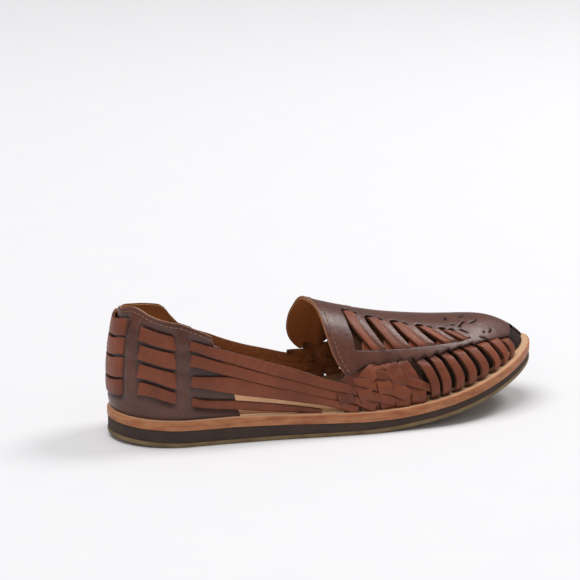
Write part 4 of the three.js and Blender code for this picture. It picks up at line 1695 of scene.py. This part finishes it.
@dataclass
class SideWeave:
    """Basket weave at the waist and the fisherman loops of the forepart."""

    last: Last
    finishes: Finishes
    rng: np.random.Generator
    plan: WeavePlan
    ribbon: Ribbon = field(default_factory=Ribbon)
    upright_width: float = 9.2
    inner_shift: float = 13.0

    def place(
        self, name: str, left: Array, right: Array, facing: Array, lift: Array, painted_shade: Array | float = 0.0
    ) -> None:
        """Makes one strip of strap leather.

        Args:
            name: name of the piece.
            left: one edge.
            right: other edge.
            facing: outward directions.
            lift: height over the design surface.
            painted_shade: painted shade on it.
        """
        draft = Draft()
        self.ribbon.lay(draft, left, right, facing, lift, float(self.rng.uniform(0.0, 0.7)), painted_shade)
        draft.make(name, self.last, self.finishes.strap, Slot.STRAP)

    def build_rows(self, side: Side, label: str) -> None:
        """Rows of the basket weave above the side straps."""
        for number, rows in enumerate(BASKET_ROWS):
            x = np.linspace(rows[0].x, rows[-1].x, 70)
            low, high = column(rows, "low")(x), column(rows, "high")(x)
            back = self.inner_shift * (1 - smooth(x, rows[0].x, 150)) if side is Side.INNER else 0.0
            s = signed(self.last, x - back, side)
            left, right = self.last.skin(s, low), self.last.skin(s, high)
            facing = self.last.facing(s, np.clip((low + high) / 2, 0.01, 1))
            fade = smooth(x, rows[0].x, rows[0].x + 5) * (1 - smooth(x, rows[-1].x - 5, rows[-1].x))
            lift = self.plan.row(rows, x) * fade - 1.5 * (1 - fade)
            # Painted shade at the row ends, where they dip under.
            self.place(f"{label}_basket_row_{number + 1}", left, right, facing, lift, 0.8 * (1 - fade))

    def build_uprights(self, side: Side, label: str) -> None:
        """Uprights that fold back over the rows at the top line."""
        for number, rows in enumerate(UPRIGHTS):
            path = smooth_path(rows, 60)
            left, right, facing = widen(self.last, path, side, self.upright_width)
            v = path[:, 1]
            top = smooth(v, rows[-1].v - 0.05, rows[-1].v)
            foot = 1 - smooth(v, -0.02, 0.04)
            lift = self.plan.upright(number, v) * (1 - top) - 1.4 * top - 1.0 * foot
            # Painted shade at the foot, where the upright goes into the sole.
            self.place(f"{label}_upright_{number + 1}", left, right, facing, lift, 0.6 * foot)

    def build_loops(self, side: Side, label: str) -> None:
        """Fisherman loops from under the side frame down into the sole."""
        for number, loop in enumerate(LOOPS):
            v = np.linspace(-0.03, loop.high, 46)
            stops = (-0.03, BELLY, loop.high)
            rear = Curve(stops, (loop.rear_foot, loop.rear_belly, loop.rear_top))(v)
            front = Curve(stops, (loop.front_foot, loop.front_belly, loop.front_top))(v)
            left = self.last.skin(signed(self.last, rear, side), v)
            right = self.last.skin(signed(self.last, front, side), v)
            middle = signed(self.last, (rear + front) / 2, side)
            facing = self.last.facing(middle, np.clip(v, 0.01, 1))
            tuck = smooth(v, loop.high - 0.10, loop.high - 0.02)
            foot = 1 - smooth(v, -0.02, 0.06)
            belly = np.sin(math.pi * np.clip(v / loop.high, 0, 1))
            lift = 0.3 + 0.9 * belly - 2.0 * tuck - 1.9 * foot
            # Painted shade at the foot, where the loop goes into the sole, and at the top, where it tucks
            # under the frame.
            painted_shade = 0.85 * np.maximum(1 - smooth(v, 0.0, 0.10), smooth(v, loop.high - 0.07, loop.high - 0.03))
            self.place(f"{label}_loop_{number + 1}", left, right, facing, lift, painted_shade)

    def build(self) -> None:
        """Builds both sides."""
        for side, label in ((Side.OUTER, "outer"), (Side.INNER, "inner")):
            self.build_rows(side, label)
            self.build_uprights(side, label)
            self.build_loops(side, label)


# ------------------------------------------------------------------ vamp


THROAT_OUTER = (
    Rim(119.6, 0.94), Rim(120.4, 0.84), Rim(120.6, 0.746), Rim(120.8, 0.66), Rim(121.3, 0.572),
    Rim(122.6, 0.46),
    Rim(124.4, 0.39), Rim(127.0, 0.325), Rim(130.6, 0.264),
)
THROAT_INNER = (
    Rim(116.6, 0.94), Rim(115.2, 0.80), Rim(114.2, 0.69), Rim(112.4, 0.56), Rim(112.0, 0.44),
    Rim(113.6, 0.36),
    Rim(116.6, 0.31), Rim(120.5, 0.27),
)
THROAT_TIP = Rim(117.6, 1.0)
FRAME_EDGE = (
    Rim(139.5, 0.350), Rim(142, 0.362), Rim(147, 0.400), Rim(150, 0.380), Rim(156.5, 0.416),
    Rim(158.5, 0.394),
    Rim(164.5, 0.430), Rim(166.5, 0.404), Rim(172.5, 0.442), Rim(174.2, 0.408), Rim(180, 0.458),
    Rim(182.6, 0.428), Rim(188, 0.476), Rim(190, 0.455), Rim(196.6, 0.494), Rim(198, 0.474),
    Rim(205.2, 0.507),
    Rim(206, 0.492), Rim(213.6, 0.514), Rim(214.4, 0.492), Rim(226.8, 0.510), Rim(228, 0.488),
    Rim(242, 0.446),
    Rim(243.4, 0.440), Rim(249.8, 0.402),
)
PEEP_EDGE = (Rim(251.6, 0.400), Rim(255.0, 0.432), Rim(259.0, 0.458))
PEEP_TIP = 0.47
INNER_FLANK = (Rim(250.8, 0.30), Rim(251.6, 0.12), Rim(252.0, 0.02), Rim(256.0, 0.02), Rim(259.5, 0.02))
WINDOW_LOW = (
    Rim(137.6, 0.483), Rim(145, 0.492), Rim(153, 0.503), Rim(160, 0.515), Rim(170, 0.530), Rim(180, 0.545),
    Rim(190, 0.556), Rim(200, 0.560), Rim(208, 0.560),
)
HEADS = (Rim(136.5, 0.883), Rim(150.3, 0.832), Rim(165.2, 0.796), Rim(179.9, 0.752), Rim(193.6, 0.706))
HEAD_ARCS = (
    Rim(0.0, 0.0), Rim(0.6, 0.024), Rim(2.4, 0.040), Rim(5.0, 0.036), Rim(6.4, -0.014), Rim(7.2, 0.004),
    Rim(8.8, 0.022), Rim(10.4, 0.004), Rim(11.6, -0.030),
)
WINDOW_END = Rim(211.5, 0.600)
WINDOW_BACK = (Rim(137.0, 0.70), Rim(137.9, 0.58))


class Chevron(NamedTuple):
    """A vamp strip's left and right edge at its head, waist and foot."""

    head: float
    waist: float
    foot: float
    left_head: float
    left_waist: float
    left_foot: float
    right_head: float
    right_waist: float
    right_foot: float


CHEVRONS = (
    Chevron(0.915, 0.70, 0.455, 137.0, 138.6, 149.5, 148.4, 150.2, 158.4),
    Chevron(0.868, 0.68, 0.480, 150.6, 155.4, 163.5, 162.6, 166.8, 174.4),
    Chevron(0.832, 0.66, 0.500, 165.4, 171.0, 179.6, 177.4, 183.2, 191.6),
    Chevron(0.790, 0.66, 0.515, 180.0, 187.8, 198.0, 191.0, 197.6, 206.2),
    Chevron(0.740, 0.64, 0.520, 193.6, 201.4, 210.6, 202.0, 209.4, 216.8),
)
CAP_SLITS = (
    (Rim(202.4, 0.850), Rim(203.4, 0.915)), (Rim(204.0, 0.772), Rim(206.4, 0.776)),
    (Rim(208.6, 0.735), Rim(213.6, 0.815)), (Rim(217.6, 0.780), Rim(225.6, 0.835)),
    (Rim(212.2, 0.885), Rim(216.4, 0.945)), (Rim(208.4, 0.700), Rim(212.8, 0.640)),
    (Rim(225.4, 0.606), Rim(228.0, 0.612)), (Rim(233.0, 0.575), Rim(238.4, 0.606)),
    (Rim(220.6, 0.556), Rim(225.6, 0.520)),
)


@dataclass
class Vamp:
    """Smooth plug with throat band, spine, side frames and toe cap over woven chevrons."""

    last: Last
    finishes: Finishes
    rng: np.random.Generator
    ribbon: Ribbon = field(default_factory=Ribbon)
    slit_width: float = 0.55
    skirt_top: float = -2.7
    skirt_forward: float = 1.9
    stitch_inset: float = 3.4

    def chart(self, rows: Sequence[Rim], side: Side) -> Array:
        """Places on the vamp chart: step, and share across the spine."""
        return np.array([(float(self.last.step(r.x)), side * (1 - r.v)) for r in rows])

    def throat(self, side: Side) -> Array:
        """Smooth throat edge of one side, from the spine down.

        Args:
            side: side of the shoe.

        Returns:
            points on the vamp chart.
        """
        rows = (THROAT_TIP, *(THROAT_OUTER if side is Side.OUTER else THROAT_INNER))
        path = smooth_path(rows, 60)
        return np.stack([self.last.step(path[:, 0]), side * (1 - path[:, 1])], -1)

    def outline(self) -> Array:
        """Closed outline of the plug."""
        outer = self.chart([*FRAME_EDGE, *PEEP_EDGE], Side.OUTER)
        corner = [Rim(r.x - step, r.v) for r, step in zip(FRAME_EDGE, (7, 4, 1))]
        inner = self.chart([*corner, *FRAME_EDGE[3:], *INNER_FLANK], Side.INNER)
        tip = np.array([[1.0, -(1 - PEEP_TIP)], [1.0, 1 - PEEP_TIP], [1.0, 0.98]])
        near, far = self.throat(Side.OUTER), self.throat(Side.INNER)[1:]
        return np.concatenate([near, outer, tip, inner[::-1], far[::-1]])

    def windows(self) -> list[Array]:
        """Openings for the chevrons and the small slits of the toe cap."""
        arcs = [Rim(head.x + arc.x, head.v + arc.v) for head in HEADS for arc in HEAD_ARCS]
        found = []
        for side in (Side.OUTER, Side.INNER):
            heads = [a for a in reversed(arcs) if a.x < WINDOW_END.x - 4]
            rows = [*WINDOW_LOW, WINDOW_END, *heads, *WINDOW_BACK]
            found.append(self.chart(rows, side))
            for a, b in CAP_SLITS:
                ends = self.chart([a, b], side) * np.array([Sheet.AROUND, Sheet.UPWARD[Chart.VAMP]])
                along = (ends[1] - ends[0]) / np.linalg.norm(ends[1] - ends[0])
                across = np.array([-along[1], along[0]]) * self.slit_width / 2
                corners = [ends[0] - across, ends[1] - across, ends[1] + across, ends[0] + across]
                found.append(np.array(corners) / np.array([Sheet.AROUND, Sheet.UPWARD[Chart.VAMP]]))
        return found

    def strip(
        self, name: str, c: Chevron, side: Side, shares: tuple[float, float], head: float, rise: float,
        finish: bpy.types.Material,
    ) -> None:
        """One of the two strips of a chevron.

        Args:
            name: name of the piece.
            c: the chevron.
            side: side of the shoe.
            shares: where its edges lie between the chevron's left and right edge.
            head: how far its head lies below the chevron's, as a share of the rise.
            rise: extra height in millimetres.
            finish: its material.
        """
        v = np.linspace(c.foot, c.head - head, 44)
        stops = (c.foot, c.waist, c.head)
        left_x = Curve(stops, (c.left_foot, c.left_waist, c.left_head))(v)
        right_x = Curve(stops, (c.right_foot, c.right_waist, c.right_head))(v)
        edges = [left_x + (right_x - left_x) * share for share in shares]
        left, right = (self.last.skin(signed(self.last, x, side), v) for x in edges)
        facing = self.last.facing(signed(self.last, sum(edges) / 2, side), v)
        up = smooth(v, c.foot + 0.015, c.foot + 0.06) * (1 - smooth(v, v[-1] - 0.045, v[-1] - 0.005))
        draft = Draft()
        # Painted shade at the foot and head, where the strip dips under the plug.
        painted_shade = 0.9 * (1 - smooth(up, 0.1, 0.75))
        lift = -1.5 + (2.0 + rise) * up
        self.ribbon.lay(draft, left, right, facing, lift, float(self.rng.uniform(0.3, 0.9)), painted_shade)
        draft.make(name, self.last, finish, Slot.STRAP)

    def strips(self, side: Side, label: str) -> None:
        """Chevron strips and the crossing strips under them."""
        for number, c in enumerate(CHEVRONS):
            name = f"{label}_chevron_{number + 1}"
            self.strip(f"{name}_rear", c, side, (0.0, 0.60), 0.0, 0.0, self.finishes.strap)
            self.strip(f"{name}_front", c, side, (0.47, 1.0), 0.028, 0.45, self.finishes.smooth)
            path = smooth_path((
                Rim(c.left_foot - 3.6, c.foot), Rim(c.left_foot - 3.4, c.foot + 0.07),
                Rim(c.left_foot - 1.0, c.foot + 0.15), Rim(c.left_foot + 4.0, c.foot + 0.24),
            ), 36)
            left, right, facing = widen(self.last, path, side, 7.4)
            draft = Draft()
            bend = np.linspace(0, 1, len(path))
            # Painted shade at the upper end, where the under strip runs beneath the chevron.
            painted_shade = 0.95 * smooth(path[:, 1], c.foot + 0.075, c.foot + 0.15)
            tone = float(self.rng.uniform(0.3, 0.8))
            self.ribbon.lay(draft, left, right, facing, -1.4 - 1.0 * bend, tone, painted_shade)
            draft.make(f"{label}_under_strip_{number + 1}", self.last, self.finishes.strap, Slot.STRAP)

    def stitches(self) -> None:
        """Stitch row along the throat edge."""
        draft = Draft()
        for side in (Side.OUTER, Side.INNER):
            rows = self.throat(side)
            q = self.last.step(self.last.station(rows[:, 0]) + self.stitch_inset)
            s, v = side * q, 1 - np.abs(rows[:, 1])
            keep = v > 0.30
            path = self.last.skin(s[keep], v[keep], 1.02)
            Seam().sew(draft, path, self.last.facing(s[keep], v[keep]))
        draft.make("throat_stitching", self.last, self.finishes.thread, Slot.SMOOTH)

    def pale(self, s: Array, v: Array) -> Array:
        """Only the throat edge is left pale."""
        return 1 - smooth(self.last.station(np.abs(s)), 128, 131)

    def lining_depth(self, s: Array, v: Array) -> Array:
        """The lining leaves room for the woven strips in front of the throat band."""
        return -2.75 * smooth(self.last.station(np.abs(s)), 128, 137)

    def toe_depth(self, s: Array, v: Array) -> Array:
        """The dark lining comes forward in the toe opening, as painted shade inside it."""
        return self.skirt_forward * smooth(self.last.station(np.abs(s)), 246, 253)

    def lining_shade(self, s: Array, v: Array) -> Array:
        """The lining is painted dark behind the weave, as shade where little light falls."""
        return smooth(self.last.station(np.abs(s)), 130, 136)

    def lining(self) -> None:
        """Lining of the throat band and the windows, the near-black lining of the toe, partly a dark lining
        and partly painted shade in the toe opening, and a near-black skirt behind the outer loops as painted
        shade between them.
        """
        reach = (
            Rim(131.5, 0.30), Rim(138, 0.41), Rim(150, 0.43), Rim(165, 0.46), Rim(185, 0.49), Rim(205, 0.53),
            Rim(216, 0.60), Rim(216, 0.75), Rim(214, 0.90),
        )
        halves = []
        for side in (Side.OUTER, Side.INNER):
            rows = self.throat(side)
            q = self.last.step(self.last.station(rows[:, 0]) + 0.35)
            halves.append(np.concatenate([np.stack([q, rows[:, 1]], -1), self.chart(reach, side)]))
        draft = Draft()
        Sheet(
            self.last, Chart.VAMP, np.concatenate([halves[0], halves[1][::-1]]), top=-0.32, thickness=0.8,
            rounding=0.3, spacing=2.4, lift=self.lining_depth, pale=self.pale, painted_shade=self.lining_shade,
        ).lay(draft, 0.2)
        draft.make("vamp_lining", self.last, self.finishes.lining, Slot.SMOOTH)
        outer = self.chart((Rim(232, 0.52), Rim(243, 0.47), Rim(250.5, 0.43), Rim(256, 0.42)), Side.OUTER)
        inner = self.chart((Rim(232, 0.52), Rim(243, 0.47), Rim(250, 0.42), Rim(252.6, 0.04)), Side.INNER)
        tip = np.array([[1.0, -(1 - PEEP_TIP)], [1.0, 1 - PEEP_TIP], [1.0, 0.96]])
        draft = Draft()
        Sheet(
            self.last, Chart.VAMP, np.concatenate([outer, tip, inner[::-1]]), top=-0.4, thickness=0.8,
            rounding=0.3, spacing=2.4,
        ).lay(draft, 0.0)
        # A near-black skirt behind the outer loops, where there is only shade: painted shade for the gaps
        # between the loops.
        upper = self.chart((Rim(178, 0.45), Rim(200, 0.52), Rim(232, 0.55), Rim(250, 0.46)), Side.OUTER)
        front = np.array([[1.0, -(1 - 0.40)], [1.0, -(1 - 0.05)]])
        lower = self.chart((Rim(250, 0.05), Rim(225, 0.05), Rim(200, 0.05), Rim(178, 0.05)), Side.OUTER)
        Sheet(
            self.last, Chart.VAMP, np.concatenate([upper, front, lower]), top=self.skirt_top, thickness=0.8,
            rounding=0.3, spacing=2.4, lift=self.toe_depth,
        ).lay(draft, 0.0)
        draft.make("toe_lining_and_shade_skirt", self.last, self.finishes.toe_lining_and_shade_skirt, Slot.SMOOTH)

    def build(self) -> None:
        """Builds the vamp."""
        for side, label in ((Side.OUTER, "outer"), (Side.INNER, "inner")):
            self.strips(side, label)
        draft = Draft()
        Sheet(
            self.last, Chart.VAMP, self.outline(), self.windows(), top=1.0, thickness=1.35, pale=self.pale
        ).lay(draft, 0.15)
        draft.make("vamp_plug_leather", self.last, self.finishes.smooth, Slot.SMOOTH, "vamp_plug")
        self.stitches()
        self.lining()


# ------------------------------------------------------------------ studio


@dataclass
class Studio:
    """Pale floor, soft light and the camera behind the outer side of the heel."""

    last: Last
    azimuth: float = 19.2
    elevation: float = 17.0
    distance: float = 1.060
    target: tuple[float, float, float] = (131.0, 0.0, 27.3)
    lens: float = 112.2
    sensor: float = 36.0
    ambient: float = 0.33
    key: float = 1.85
    key_softness: float = 44.0
    sky_from: tuple[float, float, float] = (-0.22, 0.02, 1.0)
    heel_light_at: tuple[float, float, float] = (-0.85, -1.1, 0.75)
    heel_light_size: float = 0.7
    heel_light_power: float = 2.0
    toe_light_at: tuple[float, float, float] = (1.9, 0.36, 2.5)
    toe_light_size: float = 1.0
    toe_light_power: float = 37.0
    aim_left: float = 37.3 / 1807
    aim_up: float = 78.9 / 1807

    def camera(self) -> None:
        """Places the camera and aims it a little up and left of the shoe's middle."""
        a, e = math.radians(self.azimuth), math.radians(self.elevation)
        back = Vector((-math.sin(a) * math.cos(e), -math.cos(a) * math.cos(e), math.sin(e)))
        target = Vector(self.last.to_frame(np.array(self.target)).tolist())
        right = Vector((math.cos(a), -math.sin(a), 0.0))
        up = back.cross(right)
        aim = (-back - right * self.aim_left + up * self.aim_up).normalized()
        data = bpy.data.cameras.new("camera")
        data.lens, data.sensor_width = self.lens, self.sensor
        data.clip_start, data.clip_end = 0.05, 50.0
        camera = bpy.data.objects.new("camera", data)
        bpy.context.scene.collection.objects.link(camera)
        camera.location = target + back * self.distance
        camera.rotation_euler = aim.to_track_quat("-Z", "Y").to_euler()
        bpy.context.scene.camera = camera

    def light(self, name: str, place: Sequence[float], size: float, power: float, tint: Colour) -> None:
        """Adds one soft square light that faces the shoe.

        Args:
            name: name of the light.
            place: where it hangs, in metres.
            size: side of the square in metres.
            power: watts.
            tint: colour.
        """
        data = bpy.data.lights.new(name, "AREA")
        data.shape, data.size, data.energy, data.color = "SQUARE", size, power, tint
        lamp = bpy.data.objects.new(name, data)
        bpy.context.scene.collection.objects.link(lamp)
        lamp.location = place
        lamp.rotation_euler = (Vector((0, 0, 0.03)) - lamp.location).to_track_quat("-Z", "Y").to_euler()

    def sky(self, towards: Vector) -> None:
        """Adds the even, soft main light.

        Args:
            towards: direction that it comes from.
        """
        data = bpy.data.lights.new("even_light", "SUN")
        data.energy, data.angle, data.color = self.key, math.radians(self.key_softness), (1.0, 0.99, 0.975)
        lamp = bpy.data.objects.new("even_light", data)
        bpy.context.scene.collection.objects.link(lamp)
        lamp.location = towards
        lamp.rotation_euler = towards.to_track_quat("Z", "Y").to_euler()

    def floor(self) -> None:
        """Wide pale floor with a faint mottle."""
        mesh = bpy.data.meshes.new("floor")
        far = 30.0
        mesh.from_pydata([(-far, -far, 0), (far, -far, 0), (far, far, 0), (-far, far, 0)], [], [(0, 1, 2, 3)])
        floor = bpy.data.objects.new("floor", mesh)
        bpy.context.scene.collection.objects.link(floor)
        material = bpy.data.materials.new("pale_floor")
        material.use_nodes = True
        shader = material.node_tree.nodes["Principled BSDF"]
        bench = NodeBench(material.node_tree)
        where = bench.add("ShaderNodeTexCoord").outputs["Object"]
        paper = bench.blend(bench.noise(where, 30.0), srgb(229, 229, 232), srgb(232, 232, 234))
        bench.link(paper, shader.inputs["Base Color"])
        shader.inputs["Roughness"].default_value = 0.95
        shader.inputs["Specular IOR Level"].default_value = 0.0
        mesh.materials.append(material)

    def build(self) -> None:
        """Builds floor, world, lights and camera."""
        self.floor()
        world = bpy.data.worlds.new("studio")
        world.use_nodes = True
        background = world.node_tree.nodes["Background"]
        background.inputs["Color"].default_value = (*srgb(247, 247, 249), 1.0)
        background.inputs["Strength"].default_value = self.ambient
        bpy.context.scene.world = world
        bpy.context.scene.view_settings.view_transform = "Standard"
        self.sky(Vector(self.sky_from))
        heel_size, heel_power = self.heel_light_size, self.heel_light_power
        self.light("front_softbox", self.heel_light_at, heel_size, heel_power, (1.0, 0.98, 0.96))
        self.light(
            "toe_softbox", self.toe_light_at, self.toe_light_size, self.toe_light_power, (1.0, 0.99, 0.98)
        )
        self.camera()


def main() -> None:
    """Builds the sandal, sub-assembly by sub-assembly, and the studio round it."""
    logging.basicConfig(level=logging.INFO, format="%(name)s %(message)s")
    last = Last()
    last.place_in(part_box("leather_sole")[0])
    finishes = Finishes()
    rng = np.random.default_rng(7)
    SoleUnit(last, finishes).build()
    HeelCounter(last, finishes).build()
    plan = WeavePlan()
    SideStraps(last, finishes, rng, plan).build()
    SideWeave(last, finishes, rng, plan).build()
    Vamp(last, finishes, rng).build()
    Studio(last).build()


if __name__ == "__main__":
    main()
